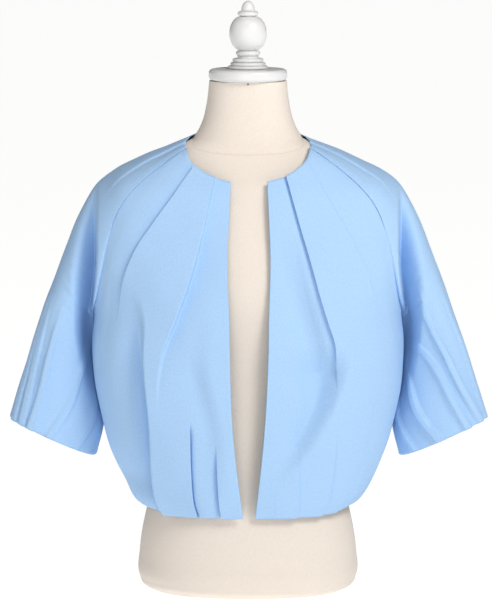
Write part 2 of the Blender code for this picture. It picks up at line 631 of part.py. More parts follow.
def arc_points(centre, radii, start, end, count):
    """Points of an oval arc, as radius and height, between two angles in degrees."""
    angles = np.radians(np.linspace(start, end, count))
    return [(centre[0] + radii[0] * math.cos(a), centre[1] + radii[1] * math.sin(a)) for a in angles]


def make_cap(material, collection):
    inner = CAP_RADIUS - CAP_ROUNDING
    rounding = (CAP_ROUNDING, CAP_ROUNDING)
    profile = [(0.0, CAP_TOP)]
    profile += arc_points((inner, CAP_TOP - CAP_ROUNDING), rounding, 90, 0, ROUNDING_POINTS)
    profile += arc_points((inner, CAP_BOTTOM + CAP_ROUNDING), rounding, 0, -90, ROUNDING_POINTS)
    profile.append((0.0, CAP_BOTTOM))
    return turned_piece("neck_cap", profile, material, collection)


def make_finial(material, collection):
    tip = FINIAL_BEADS[0].top
    profile = arc_points((0.0, tip), (FINIAL_TIP_RADIUS, FINIAL_TOP - tip), 90, 0, ROUNDING_POINTS)
    profile[0] = (0.0, FINIAL_TOP)
    for bead in FINIAL_BEADS:
        middle = (bead.top + bead.bottom) / 2
        half = (bead.top - bead.bottom) / 2
        bulge = bead.full_radius - bead.edge_radius
        profile += arc_points((bead.edge_radius, middle), (bulge, half), bead.lean, -bead.lean, bead.points)
    profile.append((0.0, FINIAL_BOTTOM))
    return turned_piece("finial", profile, material, collection)


def make_material(name, colour, roughness):
    material = bpy.data.materials.new(name)
    material.use_nodes = True
    shader = material.node_tree.nodes["Principled BSDF"]
    shader.inputs["Base Color"].default_value = (*colour, 1.0)
    shader.inputs["Roughness"].default_value = roughness
    shader.inputs["Metallic"].default_value = 0.0
    material.diffuse_color = (*colour, 1.0)
    return material


def main():
    for old in list(bpy.data.objects):
        bpy.data.objects.remove(old, do_unlink=True)
    collection = bpy.data.collections.new(COLLECTION)
    bpy.context.scene.collection.children.link(collection)
    cotton = make_material(*SKY_COTTON)
    linen = make_material(*LINEN)
    white = make_material(*WHITE_PAINT)
    make_form(linen, collection)
    make_cap(white, collection)
    make_finial(white, collection)
    make_back(cotton, collection)
    for side in (RIGHT, LEFT):
        make_front(side, cotton, collection)
        make_sleeve(side, cotton, collection)


main()
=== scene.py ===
# %% [markdown]
# # A cropped jacket resting on a dress form
#
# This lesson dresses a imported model. The model already has every piece at its real size: two
# fronts, a back, two raglan sleeves, and the form with its neck cap and finial. Here each piece
# gets its finished surface: finer cloth with pressed pleats and soft drapes, a woven cover on the
# form, and satin paint on the turned wood. All sizes are metres, +Z is up and the front faces -Y.

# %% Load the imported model
import math
from collections import namedtuple

import bmesh
import bpy
import numpy as np
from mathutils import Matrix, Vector


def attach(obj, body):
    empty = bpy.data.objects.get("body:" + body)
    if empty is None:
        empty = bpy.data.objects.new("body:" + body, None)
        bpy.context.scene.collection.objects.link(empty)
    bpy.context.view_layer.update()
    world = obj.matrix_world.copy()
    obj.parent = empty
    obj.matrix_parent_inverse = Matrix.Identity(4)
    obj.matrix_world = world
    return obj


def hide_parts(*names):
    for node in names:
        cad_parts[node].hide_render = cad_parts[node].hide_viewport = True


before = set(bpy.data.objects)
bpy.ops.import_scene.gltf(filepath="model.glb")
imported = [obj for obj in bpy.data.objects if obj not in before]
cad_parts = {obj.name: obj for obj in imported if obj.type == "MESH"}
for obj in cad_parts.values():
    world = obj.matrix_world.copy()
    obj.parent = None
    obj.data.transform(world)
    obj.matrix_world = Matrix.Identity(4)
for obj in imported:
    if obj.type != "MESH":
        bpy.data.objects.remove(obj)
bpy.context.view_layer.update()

scene = bpy.context.scene
print("nodes:", sorted(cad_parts))

# %% [markdown]
# ## The camera
#
# The picture was taken from straight in front, a little above the middle, with a long lens. A
# long lens far away keeps the sleeves from looking wider than the body. The frame is taller than
# wide, so the sensor's width is the picture's height.

# %% Place the camera
VIEW_CENTRE = Vector((-0.0029, 0.0, 0.4215))
VIEW_DISTANCE = 6.0
VIEW_TILT = math.radians(7)
PICTURE_HEIGHT = 0.870
SENSOR = 36.0


def add_object(name, data):
    made = bpy.data.objects.new(name, data)
    scene.collection.objects.link(made)
    return made


towards_camera = Vector((0, -math.cos(VIEW_TILT), math.sin(VIEW_TILT)))
camera_data = bpy.data.cameras.new("camera")
camera_data.sensor_width = SENSOR
camera_data.lens = SENSOR * VIEW_DISTANCE / PICTURE_HEIGHT
camera = add_object("camera", camera_data)
camera.location = VIEW_CENTRE + VIEW_DISTANCE * towards_camera
camera.rotation_mode = "QUATERNION"
camera.rotation_quaternion = (-towards_camera).to_track_quat("-Z", "Y")
scene.camera = camera
print("lens:", round(camera_data.lens, 1), "mm")

# %% [markdown]
# ## Smooth curves through short tables
#
# A dressmaker's chart gives a few measurements and trusts the eye to join them smoothly. These
# helpers do the same: a table has one row for each section, and each of its named columns becomes
# a smooth function. A spline object would work too, but plain functions can be asked for any
# point of the cloth.

# %% Curve helpers
FRONT, BACK = -1, 1
RIGHT, LEFT = -1, 1
FACE_NAME = {FRONT: "front", BACK: "back"}


def curve_through(stations, values):
    stations = np.asarray(stations, dtype=float)
    values = np.asarray(values, dtype=float)
    slopes = np.gradient(values, stations)

    def at(place):
        place = np.clip(place, stations[0], stations[-1])
        low = np.clip(np.searchsorted(stations, place, side="right") - 1, 0, len(stations) - 2)
        span = stations[low + 1] - stations[low]
        t = (place - stations[low]) / span
        return (values[low] * (1 + 2 * t) * (1 - t) ** 2
                + slopes[low] * span * t * (1 - t) ** 2
                + values[low + 1] * t * t * (3 - 2 * t)
                + slopes[low + 1] * span * t * t * (t - 1))

    return at


def table_columns(table, station=None):
    stations = [getattr(row, station) for row in table] if station else range(len(table))
    return {name: curve_through(stations, [getattr(row, name) for row in table])
            for name in table[0]._fields if name != station}


def ease(t):
    t = np.clip(t, 0, 1)
    return t * t * (3 - 2 * t)


def unit(vectors):
    return vectors / np.maximum(np.linalg.norm(vectors, axis=-1, keepdims=True), 1e-12)


# %% [markdown]
# ## The body of the jacket as level rings
#
# The fronts and the back hang as one cocoon: wide at the chest and drawn in at the hem. Level
# rings are the simplest way to hold that shape. Each ring is a squared oval, given by its height,
# its half width, and its depth in front of and behind the side seams.

# %% Rings of the body
Ring = namedtuple("Ring", "height half_width front back")
JACKET_POWER = 2.4
JACKET_RINGS = (
    Ring(0.1200, 0.1510, 0.1240, 0.1240),
    Ring(0.1400, 0.1680, 0.1310, 0.1330),
    Ring(0.1700, 0.1840, 0.1365, 0.1420),
    Ring(0.2100, 0.2010, 0.1400, 0.1500),
    Ring(0.2600, 0.2145, 0.1420, 0.1540),
    Ring(0.3200, 0.2245, 0.1430, 0.1530),
    Ring(0.3700, 0.2260, 0.1425, 0.1480),
    Ring(0.4050, 0.2225, 0.1400, 0.1430),
    Ring(0.4400, 0.2260, 0.1360, 0.1380),
    Ring(0.4800, 0.2340, 0.1285, 0.1330),
    Ring(0.5300, 0.2355, 0.1150, 0.1260),
    Ring(0.5600, 0.2310, 0.1060, 0.1190),
    Ring(0.5900, 0.2185, 0.0960, 0.1090),
    Ring(0.6085, 0.1943, 0.0870, 0.1000),
    Ring(0.6260, 0.1600, 0.0790, 0.0920),
    Ring(0.6436, 0.1210, 0.0690, 0.0820),
    Ring(0.6550, 0.0920, 0.0610, 0.0740),
    Ring(0.6610, 0.0800, 0.0570, 0.0715),
)
WIDEST_HEIGHT = 0.53
HEIGHT_STEP = 0.001
JACKET = table_columns(JACKET_RINGS, "height")


def jacket_depth(face, height):
    return JACKET[FACE_NAME[face]](height)


def jacket_point(angle, height, side, face):
    """A point of a ring at an angle from the centre line, 90 degrees at the side seam."""
    across = np.clip(np.sin(angle), 0, 1) ** (2 / JACKET_POWER)
    deep = np.clip(np.cos(angle), 0, 1) ** (2 / JACKET_POWER)
    x = side * JACKET["half_width"](height) * across
    y = face * jacket_depth(face, height) * deep
    return np.stack([x, y, height + 0 * x], axis=-1)


def jacket_normal(angle, height, side, face):
    above, below = height + HEIGHT_STEP, height - HEIGHT_STEP
    power = 2 * (JACKET_POWER - 1) / JACKET_POWER
    sine = np.clip(np.sin(angle), 0, 1)
    cosine = np.clip(np.cos(angle), 0, 1)
    width = JACKET["half_width"](height)
    depth = jacket_depth(face, height)
    width_slope = (JACKET["half_width"](above) - JACKET["half_width"](below)) / (2 * HEIGHT_STEP)
    depth_slope = (jacket_depth(face, above) - jacket_depth(face, below)) / (2 * HEIGHT_STEP)
    lean = -(sine ** 2 * width_slope / width + cosine ** 2 * depth_slope / depth)
    sideways = side * sine ** power / width
    return unit(np.stack([sideways, face * cosine ** power / depth, lean], axis=-1))


def jacket_angle(x, height):
    across = np.clip(x / JACKET["half_width"](height), 0, 1)
    return np.arcsin(across ** (JACKET_POWER / 2))


def full_width(height):
    """The half width that places across a panel are shares of."""
    return JACKET["half_width"](np.minimum(height, WIDEST_HEIGHT))


print("rings from", JACKET_RINGS[0].height, "to", JACKET_RINGS[-1].height, "m")

# %% [markdown]
# ## The sleeve's sections and the raglan seams
#
# A raglan sleeve runs to the neckline in one piece, so it meets the front and the back along two
# slanting seams. Its table has a row for each section, neck to hem: the top line, the two seams,
# and how round the section is. The first ten rows lie on the body's rings, and the last four hang
# free as a tube.

# %% Sections of the sleeve
Section = namedtuple(
    "Section",
    "top_x top_y top_z front_x front_z back_x back_z under_y half_depth fullness roundness")
SLEEVE_SECTIONS = (
    Section(0.0835, 0.012, 0.6575, 0.0885, 0.6475, 0.0600, 0.6590, 0.000, 0.070, 0.22, 0.00),
    Section(0.1050, 0.012, 0.6495, 0.1120, 0.6320, 0.0900, 0.6400, 0.000, 0.070, 0.30, 0.00),
    Section(0.1350, 0.012, 0.6375, 0.1370, 0.6130, 0.1220, 0.6175, 0.000, 0.070, 0.34, 0.00),
    Section(0.1650, 0.012, 0.6235, 0.1610, 0.5920, 0.1500, 0.5940, 0.000, 0.072, 0.36, 0.00),
    Section(0.1930, 0.012, 0.6090, 0.1815, 0.5660, 0.1740, 0.5670, 0.000, 0.074, 0.36, 0.00),
    Section(0.2160, 0.012, 0.5920, 0.1955, 0.5350, 0.1920, 0.5360, 0.000, 0.076, 0.36, 0.04),
    Section(0.2330, 0.012, 0.5680, 0.2045, 0.5030, 0.2040, 0.5030, 0.000, 0.077, 0.36, 0.10),
    Section(0.2465, 0.013, 0.5400, 0.2105, 0.4700, 0.2105, 0.4700, 0.000, 0.077, 0.36, 0.19),
    Section(0.2595, 0.014, 0.5080, 0.2170, 0.4360, 0.2170, 0.4360, 0.000, 0.076, 0.36, 0.36),
    Section(0.2730, 0.015, 0.4720, 0.2238, 0.4050, 0.2238, 0.4050, 0.000, 0.075, 0.36, 0.66),
    Section(0.2905, 0.016, 0.4250, 0.2252, 0.3550, 0.2252, 0.3550, 0.048, 0.073, 0.36, 1.00),
    Section(0.3090, 0.017, 0.3720, 0.2215, 0.3000, 0.2215, 0.3000, 0.056, 0.071, 0.36, 1.00),
    Section(0.3290, 0.018, 0.3080, 0.2120, 0.2420, 0.2120, 0.2420, 0.056, 0.069, 0.36, 1.00),
    Section(0.3455, 0.018, 0.2520, 0.2225, 0.1910, 0.2225, 0.1910, 0.048, 0.066, 0.36, 1.00),
)
UNDERARM_ROW = 9
HEM_ROW = len(SLEEVE_SECTIONS) - 1
SLEEVE = table_columns(SLEEVE_SECTIONS)


def raglan_seam(face, rows):
    """Angles and heights of a raglan seam on the rings, neck to under-arm."""
    heights = SLEEVE[FACE_NAME[face] + "_z"](rows)
    angles = jacket_angle(SLEEVE[FACE_NAME[face] + "_x"](rows), heights)
    return np.where(rows >= UNDERARM_ROW, math.pi / 2, angles), heights


print("sleeve sections:", len(SLEEVE_SECTIONS))

# %% [markdown]
# ## Neckline and hem
#
# In front the neckline is half an oval that stops at the open edges. Behind it is level. The hem is
# level too, but it lifts towards the side seams where the cocoon turns under. Plain formulas say
# this in one line each, so no edge has to be drawn by hand.

# %% Edges of the body
HEM_HEIGHT = 0.1215
HEM_SIDE_LIFT = 0.0150
HEM_LIFT_FROM, HEM_LIFT_TO = math.radians(42), math.radians(86)
NECK_HALF_WIDTH = 0.0885
NECK_SIDE_HEIGHT = 0.6475
NECK_FRONT_DROP = 0.0475
NECK_BACK_HEIGHT = 0.6600
CENTRE_EDGE = {RIGHT: (.106, .127, .116, .102, .051), LEFT: (.118, .138, .130, .111, .067)}


def neckline_height(face, x):
    if face == BACK:
        return np.full_like(x, NECK_BACK_HEIGHT)
    across = np.clip(x / NECK_HALF_WIDTH, 0, 1)
    return NECK_SIDE_HEIGHT - NECK_FRONT_DROP * np.sqrt(1 - across ** 2)


def hem_height(angle):
    lifted = ease((angle - HEM_LIFT_FROM) / (HEM_LIFT_TO - HEM_LIFT_FROM))
    return HEM_HEIGHT + HEM_SIDE_LIFT * lifted


def hem_at_share(share):
    """Height of the hem at a place given as a share of the half width."""
    return hem_height(np.arcsin(share ** (JACKET_POWER / 2)))


print("hem from", HEM_HEIGHT, "to", HEM_HEIGHT + HEM_SIDE_LIFT, "m")


# %% [markdown]
# ## How a fold lifts the cloth
#
# A pressed pleat is cloth folded back on itself: an edge that stands a few millimetres proud, a
# long fall behind it, and a hollow in front where the lower layer goes under. A drape is the same
# with a wide, soft edge. So one profile serves both. For a pressed edge the cloth also slides
# over the lower layer, which gives a real overlap and its thin shadow.

# %% The fold's profile
CRISP_LIP = 0.0014
SLIDE_RUN = 0.006
LASTS = 99
Fold = namedtuple(
    "Fold",
    "name top upper middle lower hem grows whole height run dip dip_run over overlap until gone lip",
    defaults=(0, LASTS, LASTS + 1, CRISP_LIP))


def fold_lift(distance, fold):
    """Height over the flat cloth at a distance from the fold's edge, positive on the upper layer."""
    on_top = ease(distance / fold.lip + 0.5)
    crown = fold.height * np.exp(-np.maximum(distance, 0) / fold.run)
    hollow = fold.dip * np.exp(np.minimum(distance, 0) / fold.dip_run)
    return on_top * crown - (1 - on_top) * hollow


def fold_slide(distance, fold):
    """How far the cloth slides along itself there: back over the lower layer, or on under it."""
    half = fold.lip / 2
    past = np.maximum(np.abs(distance) - half, 0)
    return -fold.overlap * np.clip(distance / half, -1, 1) * np.exp(-past / SLIDE_RUN)


def add_folds(lift, folds, guides, stations, places, arcs):
    """Add the lift of every fold in place, and return how far the cloth slides along itself."""
    slide = np.zeros(arcs.shape)
    for fold in folds:
        at = np.array([np.interp(*row) for row in zip(guides[fold.name], places, arcs)])
        grown = ease((stations - fold.grows) / (fold.whole - fold.grows))
        left = 1 - ease((stations - fold.until) / (fold.gone - fold.until))
        share = (grown * left)[:, None]
        distance = fold.over * (arcs - at[:, None])
        lift += share * fold_lift(distance, fold)
        slide += share * fold.over * fold_slide(distance, fold)
    return slide


def arc_along(points):
    steps = np.linalg.norm(np.diff(points, axis=1), axis=-1)
    return np.concatenate([np.zeros((len(points), 1)), np.cumsum(steps, axis=1)], axis=1)


# %% [markdown]
# ## Columns that follow the pleats
#
# A pressed edge is sharp only if the mesh has an edge along it. So each pleat brings a bundle of
# columns that run beside it, close at the edge and wider further out. Where two pleats come near
# each other their bundles are squeezed, so that no column crosses another.

# %% Columns across a panel
BUNDLE = (0.00035, 0.0007, 0.0011, 0.0018, 0.0030, 0.0050)
BUNDLE_SHARE = 0.42


def fold_columns(first, guides, last, size, gap):
    """Columns from first to last, with a bundle at each guide. Places are shares of size."""
    lines = [first, *guides, last]
    columns = [first]
    widest = BUNDLE[-1] / size
    for k, guide in enumerate(guides, 1):
        before = np.minimum(1, BUNDLE_SHARE * (guide - lines[k - 1]) / widest)
        after = np.minimum(1, BUNDLE_SHARE * (lines[k + 1] - guide) / widest)
        columns += [guide - before * offset / size for offset in BUNDLE[::-1]]
        columns.append(guide)
        columns += [guide + after * offset / size for offset in BUNDLE]
    columns.append(last)
    return spread(columns, gap)


def spread(columns, gap):
    """The columns, with more laid evenly wherever two are further apart than a gap."""
    filled = [columns[0]]
    for near, far in zip(columns[:-1], columns[1:]):
        count = max(1, math.ceil(np.max(far - near) / gap))
        filled += [near + (far - near) * k / count for k in range(1, count + 1)]
    return np.stack(filled, axis=1)


# %% [markdown]
# ## Columns beside the raglan seam
#
# Above the under-arm the panel's edge is the slanting seam, so columns start on it as well as on
# the neckline. At each level those present are laid evenly between the column from the neckline's
# corner and the seam. Below the arm the side seam takes the seam's place.

# %% Columns that start on the seam
CORNER_HEM = 0.957
CORNER_SWING = 4.0
SEAM_SAMPLES = 400
SEAM_ROWS = np.concatenate([np.linspace(0, UNDERARM_ROW - 1, 33), [8.25, 8.5, 8.75, 9.0]])


def corner_share(face, height):
    corner_x, corner_z = (getattr(SLEEVE_SECTIONS[0], FACE_NAME[face] + axis) for axis in ("_x", "_z"))
    start = corner_x / full_width(corner_z)
    down = np.clip((corner_z - height) / (corner_z - HEM_HEIGHT), 0, 1)
    return start + (CORNER_HEM - start) * (1 - (1 - down) ** CORNER_SWING)


def seam_columns(face, down):
    fine = np.linspace(0, UNDERARM_ROW, SEAM_SAMPLES)
    angles, heights = raglan_seam(face, fine)
    seam_shares = jacket_point(angles, heights, LEFT, face)[:, 0] / full_width(heights)
    tops = raglan_seam(face, SEAM_ROWS)[1]
    hem_shares = CORNER_HEM + (1 - CORNER_HEM) * SEAM_ROWS / UNDERARM_ROW
    hems = hem_at_share(hem_shares)
    levels = tops + (hems - tops) * down[:, None]
    outer_row = np.interp(-levels, -heights, fine)
    outer_share = np.interp(-levels, -heights, seam_shares)
    inner_share = corner_share(face, levels)
    portion = np.divide(SEAM_ROWS + 0 * levels, outer_row, out=0 * levels, where=outer_row > 0)
    return inner_share + (outer_share - inner_share) * np.minimum(portion, 1), levels


# %% [markdown]
# ## One half of the body
#
# A front is one half, and the back is two halves joined at the centre. The flat ring surface is
# laid out first, then every fold adds its lift along the surface's own direction. Folds die away
# at the seams, where the stitches hold the cloth flat, and the edge rolls down into the seam.
# The inner face follows only the lowest nearby lift, so that the wall stays whole under a pleat.

# %% Small shapes of the cloth
HEM_STEP = 0.03
HEM_STEP_RUN = 0.012
Ripple = namedtuple("Ripple", "height across up by_side start")
RIPPLES = (
    Ripple(0.00045, 46, 31, 1, 0),
    Ripple(0.00030, 71, -44, 2, 1.3),
    Ripple(0.00016, 120, 63, 0, 0.7),
)


def lowest_nearby(lift, arcs, reach, columns=9):
    """The least lift within a reach to each side of every point."""
    low = lift.copy()
    for shift in range(1, columns + 1):
        near = np.abs(arcs[:, shift:] - arcs[:, :-shift]) < reach
        after, before = low[:, shift:], low[:, :-shift]
        after[near] = np.minimum(after, lift[:, :-shift])[near]
        before[near] = np.minimum(before, lift[:, shift:])[near]
    return low


def ripple(points, side):
    """The slight unevenness of cloth that was never pressed quite flat."""
    x, z = points[..., 0], points[..., 2]
    return sum(wave.height * np.sin(wave.across * x + wave.up * z + wave.by_side * side + wave.start)
               for wave in RIPPLES)


def raised_faces(flat, normals, across, lift, low, slide, above_hem):
    """The outer and the inner face of a panel, from its flat surface. A fold pulls its hem down."""
    outer = flat + normals * lift[..., None] + across * slide[..., None]
    inner = flat + normals * low[..., None]
    step = HEM_STEP * lift * np.exp(-above_hem / HEM_STEP_RUN)
    for layer in (outer, inner):
        layer[..., 2] -= step
    return outer, inner


# %% Lay out half a body
CLOTH = 0.0012
SEAM_GAP = 0.00012
SEAM_QUIET = 0.014
SEAM_ROLL = 0.0003
SEAM_ROLL_RUN = 0.0016
BODY_ROWS = 150
BODY_GAP = 0.0170
UNDER_PLEAT = 0.0045
Panel = namedtuple("Panel", "outer inner arcs lengths")


def half_body(face, side, edge, folds, name):
    down = np.linspace(0, 1, BODY_ROWS)
    steps = np.linspace(0, 1, len(edge))
    size = full_width(WIDEST_HEIGHT)
    seam_shares, seam_levels = seam_columns(face, down)
    guides = {fold.name: curve_through(steps, fold[1:6])(down) for fold in folds}
    pressed = [guides[fold.name] for fold in folds if fold.lip <= CRISP_LIP]
    first = curve_through(steps, edge)(down)
    neck_shares = fold_columns(first, pressed, seam_shares[:, 0], size, BODY_GAP)[:, :-1]
    tops = neckline_height(face, neck_shares[0] * size)
    hems = hem_at_share(neck_shares[-1])
    neck_levels = tops + (hems - tops) * down[:, None]
    shares = np.concatenate([neck_shares, seam_shares], axis=1)
    heights = np.concatenate([neck_levels, seam_levels], axis=1)
    angles = jacket_angle(shares * full_width(heights), heights)
    angles[:, -1] = math.pi / 2

    flat = jacket_point(angles, heights, side, face)
    normals = jacket_normal(angles, heights, side, face)
    arcs = arc_along(flat)
    across = unit(np.gradient(flat, axis=1))
    first_seam = neck_shares.shape[1]
    below_top = np.linalg.norm(flat - flat[0], axis=-1)
    above_hem = np.linalg.norm(flat - flat[-1], axis=-1)
    from_side = arcs[:, -1:] - arcs
    quiet = ease(from_side / SEAM_QUIET)
    quiet[:, first_seam:] *= ease(below_top[:, first_seam:] / SEAM_QUIET)
    from_corner = np.hypot(arcs[:, [first_seam]] - arcs, below_top)
    quiet[:, :first_seam] *= ease(from_corner[:, :first_seam] / SEAM_QUIET)

    lift = ripple(flat, side)
    slide = add_folds(lift, folds, guides, down, shares, arcs) * quiet
    lift *= quiet
    roll = np.exp(-from_side / SEAM_ROLL_RUN)
    roll[:, first_seam:] = np.maximum(roll[:, first_seam:],
                                      np.exp(-below_top[:, first_seam:] / SEAM_ROLL_RUN))
    low = lowest_nearby(lift, arcs, UNDER_PLEAT) - CLOTH - SEAM_ROLL * roll
    lift -= SEAM_ROLL * roll
    outer, inner = raised_faces(flat, normals, across, lift, low, slide, above_hem)
    for layer in (outer, inner):
        layer[:, -1, 1] += face * SEAM_GAP / 2
    print(name, outer.shape[:2], "lift", round(lift.min(), 4), "to", round(lift.max(), 4))
    return Panel(outer, inner, arcs, below_top)


# %% [markdown]
# ## A wall of cloth from two faces
#
# A sheet with no thickness looks like paper at its edges. So each piece is a closed wall: an
# outer face, an inner face, and a rim between them with a middle line pushed out a little, which
# rounds the turned edge. The flat places of the cloth are kept as a UV map in metres, so that the
# weave can follow the grain.

# %% Make a cloth piece
EDGE_ROUND = 0.0005


def rim_order(rows, columns):
    """Grid places round the edge of a panel, in order."""
    top = [(0, c) for c in range(columns)]
    last = [(r, columns - 1) for r in range(1, rows)]
    bottom = [(rows - 1, c) for c in range(columns - 2, -1, -1)]
    first = [(r, 0) for r in range(rows - 2, 0, -1)]
    return np.array(top + last + bottom + first)


def cloth_piece(name, panel, sewn, top_from=None):
    """A closed wall from a panel. Sewn edges, named top, first or last, stay flat, or part of the top."""
    rows, columns = panel.outer.shape[:2]
    count = rows * columns
    rim = rim_order(rows, columns)
    r, c = rim[:, 0], rim[:, 1]
    inside = panel.outer[np.clip(r, 1, rows - 2), np.clip(c, 1, columns - 2)]
    outwards = unit(panel.outer[r, c] - inside)
    bulge = np.full(len(rim), EDGE_ROUND)
    edges = {"top": r == 0, "first": c == 0, "last": c == columns - 1}
    for edge in sewn:
        bulge[edges[edge]] = 0
    if top_from is not None:
        bulge[edges["top"] & (c >= top_from)] = 0
    middle = (panel.outer[r, c] + panel.inner[r, c]) / 2 + outwards * bulge[:, None]
    points = np.concatenate([panel.outer.reshape(-1, 3), panel.inner.reshape(-1, 3), middle])

    corner = (np.arange(rows - 1)[:, None] * columns + np.arange(columns - 1)).ravel()
    quads = np.stack([corner, corner + columns, corner + columns + 1, corner + 1], axis=1)
    outer_rim = r * columns + c
    middle_rim = 2 * count + np.arange(len(rim))
    ahead = np.roll(np.arange(len(rim)), -1)
    upper = np.stack([outer_rim, outer_rim[ahead], middle_rim[ahead], middle_rim], axis=1)
    inner_rim = count + outer_rim
    lower = np.stack([middle_rim, middle_rim[ahead], inner_rim[ahead], inner_rim], axis=1)
    faces = np.concatenate([quads, quads[:, ::-1] + count, upper, lower])

    mesh = bpy.data.meshes.new(name)
    mesh.from_pydata(points.tolist(), [], faces.tolist())
    grain = np.stack([panel.arcs.ravel(), panel.lengths.ravel()], axis=1)
    grain = np.concatenate([grain, grain, grain[outer_rim]])
    corners = np.empty(len(mesh.loops), dtype=np.int32)
    mesh.loops.foreach_get("vertex_index", corners)
    grain_map = mesh.uv_layers.new(name="grain")
    grain_map.data.foreach_set("uv", grain[corners].astype(np.float32).ravel())
    whole = bmesh.new()
    whole.from_mesh(mesh)
    bmesh.ops.recalc_face_normals(whole, faces=whole.faces)
    whole.to_mesh(mesh)
    whole.free()
    mesh.shade_smooth()
    print(name, len(mesh.polygons), "faces")
    return add_object(name, mesh)


# %% [markdown]
# ## Folds of the two fronts
#
# The two fronts are pleated alike but they have settled differently. On the right front a deep
# neck pleat runs out towards the side, and a soft drape turns into a bunch of tight folds at the
# hem. On the left front the neck pleat ends in a point, where the cloth swings back towards the
# centre. Each row says where a fold passes, as shares of the half width at five even steps from
# the top edge to the hem, where along that way it grows and fades, and how high and wide it is.

# %% Tables of front folds
RIGHT_FRONT_FOLDS = (
    Fold("tuck drape", .125, .17, .3, .224, .247, .36, .62, .0044, .04, .005, .03, -1, 0, .86, .99, .034),
    Fold("hem tuck", .125, .17, .3, .224, .247, .77, .86, .002, .022, .008, .0045, -1, .001),
    Fold("hem slit", .16, .24, .385, .392, .473, .705, .76, .0012, .024, .008, .0022, 1, .001),
    Fold("neck hollow", .198, .322, .526, .6, .616, .04, .3, .0006, .03, .007, .04, 1, 0, .36, .7, .004),
    Fold("neck pleat", .198, .322, .526, .6, .616, -1, 0, .0034, .055, .0016, .028, 1, .0003, .3, .62),
    Fold("side drape", .26, .665, .69, .692, .815, .34, .58, .005, .05, .033, .036, -1, 0, .9, 1, .022),
    Fold("side fold", .26, .63, .655, .66, .785, .56, .8, .0026, .02, .006, .012, -1, .0008),
    Fold("first bunch fold", .28, .645, .7, .695, .812, .8, .89, .0026, .007, .002, .005, -1),
    Fold("second bunch fold", .3, .66, .745, .73, .84, .86, .94, .0022, .007, .002, .005, -1),
    Fold("raglan pleat", .321, .687, .885, .9, .91, -1, 0, .0036, .04, .005, .012, -1, .0012, .3, .46),
)
LEFT_FRONT_FOLDS = (
    Fold("hem tuck", .15, .19, .2, .16, .239, .84, .95, .001, .02, .001, .012, -1, .0003),
    Fold("hem pleat", .19, .26, .3, .33, .455, .66, .85, .001, .04, .0014, .03, -1, .0003),
    Fold("return drape", .2, .42, .578, .425, .06, .47, .58, .007, .06, .023, .05, 1, 0, .68, .92, .032),
    Fold("neck pleat", .23, .38, .55, .562, .6, -1, 0, .003, .06, .004, .006, 1, .0014, .54, .62),
    Fold("neck swell", .195, .31, .462, .48, .55, .06, .44, .005, .06, .024, .04, 1, 0, .56, .72, .05),
    Fold("low drape", .27, .47, .63, .6, .7, .7, .84, .0012, .04, .0018, .022, -1, .0002),
    Fold("side drape", .31, .56, .77, .82, .825, .64, .8, .0012, .03, .0022, .02, -1, .0002),
    Fold("first side fold", .325, .59, .81, .86, .868, .8, .9, .0018, .012, .0015, .008, -1),
    Fold("second side fold", .335, .62, .835, .885, .898, .84, .93, .0018, .01, .0015, .008, -1),
    Fold("raglan pleat", .351, .66, .88, .915, .925, -1, 0, .0012, .03, .0004, .012, -1, .0003, .36, .5),
)
FRONT_FOLDS = {RIGHT: RIGHT_FRONT_FOLDS, LEFT: LEFT_FRONT_FOLDS}
print("front folds:", [len(folds) for folds in FRONT_FOLDS.values()])

# %% Make the fronts
pieces = {}
for side, name in ((RIGHT, "front_right"), (LEFT, "front_left")):
    panel = half_body(FRONT, side, CENTRE_EDGE[side], FRONT_FOLDS[side], name)
    first_seam = panel.outer.shape[1] - len(SEAM_ROWS)
    pieces[name] = cloth_piece(name + "_cloth", panel, ["last"], top_from=first_seam)

# %% [markdown]
# ## The back
#
# The picture doesn't show the back, so it is finished plainly in the same manner: pleats from the
# neckline, tucks at the hem, and one panel with no centre seam. The two halves are a little
# unlike, as cloth is.

# %% Join two halves
def turned_over(panel):
    """The same panel with its columns in the other order."""
    return Panel(*(layer[:, ::-1] for layer in panel))


def joined(first, second):
    """One panel from two whose last and first columns are one line, laid midway between them."""
    def laid(one, two):
        return np.concatenate([one[:, :-1], (one[:, -1:] + two[:, :1]) / 2, two[:, 1:]], axis=1)

    arcs = np.concatenate([first.arcs, second.arcs[:, 1:]], axis=1)
    lengths = np.concatenate([first.lengths, second.lengths[:, 1:]], axis=1)
    return Panel(laid(first.outer, second.outer), laid(first.inner, second.inner), arcs, lengths)


# %% Make the back
RIGHT_BACK_FOLDS = (
    Fold("hem tuck", .07, .12, .17, .2, .25, .62, .8, .0034, .026, .0035, .016, -1, .0006),
    Fold("neck pleat", .12, .22, .38, .48, .53, -1, 0, .0042, .04, .003, .022, 1, .001, .32, .58),
    Fold("low drape", .16, .36, .56, .64, .7, .34, .6, .004, .04, .005, .026, 1, 0, .86, 1, .02),
    Fold("hem pleat", .16, .36, .56, .64, .7, .7, .84, .003, .026, .0035, .014, 1, .0004),
    Fold("raglan pleat", .2, .52, .76, .84, .87, -1, 0, .0034, .04, .003, .018, -1, .001, .26, .48),
)
LEFT_BACK_FOLDS = (
    Fold("hem tuck", .06, .11, .16, .215, .27, .68, .82, .003, .024, .003, .016, -1, .0006),
    Fold("neck pleat", .118, .215, .39, .5, .545, -1, 0, .004, .04, .0035, .024, 1, .001, .36, .6),
    Fold("low drape", .16, .35, .545, .62, .69, .3, .56, .0036, .044, .005, .028, 1, 0, .84, 1, .022),
    Fold("hem pleat", .16, .35, .545, .62, .69, .74, .86, .0028, .026, .0035, .014, 1, .0004),
    Fold("raglan pleat", .204, .53, .75, .83, .865, -1, 0, .0032, .04, .003, .018, -1, .001, .24, .46),
)
BACK_FOLDS = {RIGHT: RIGHT_BACK_FOLDS, LEFT: LEFT_BACK_FOLDS}
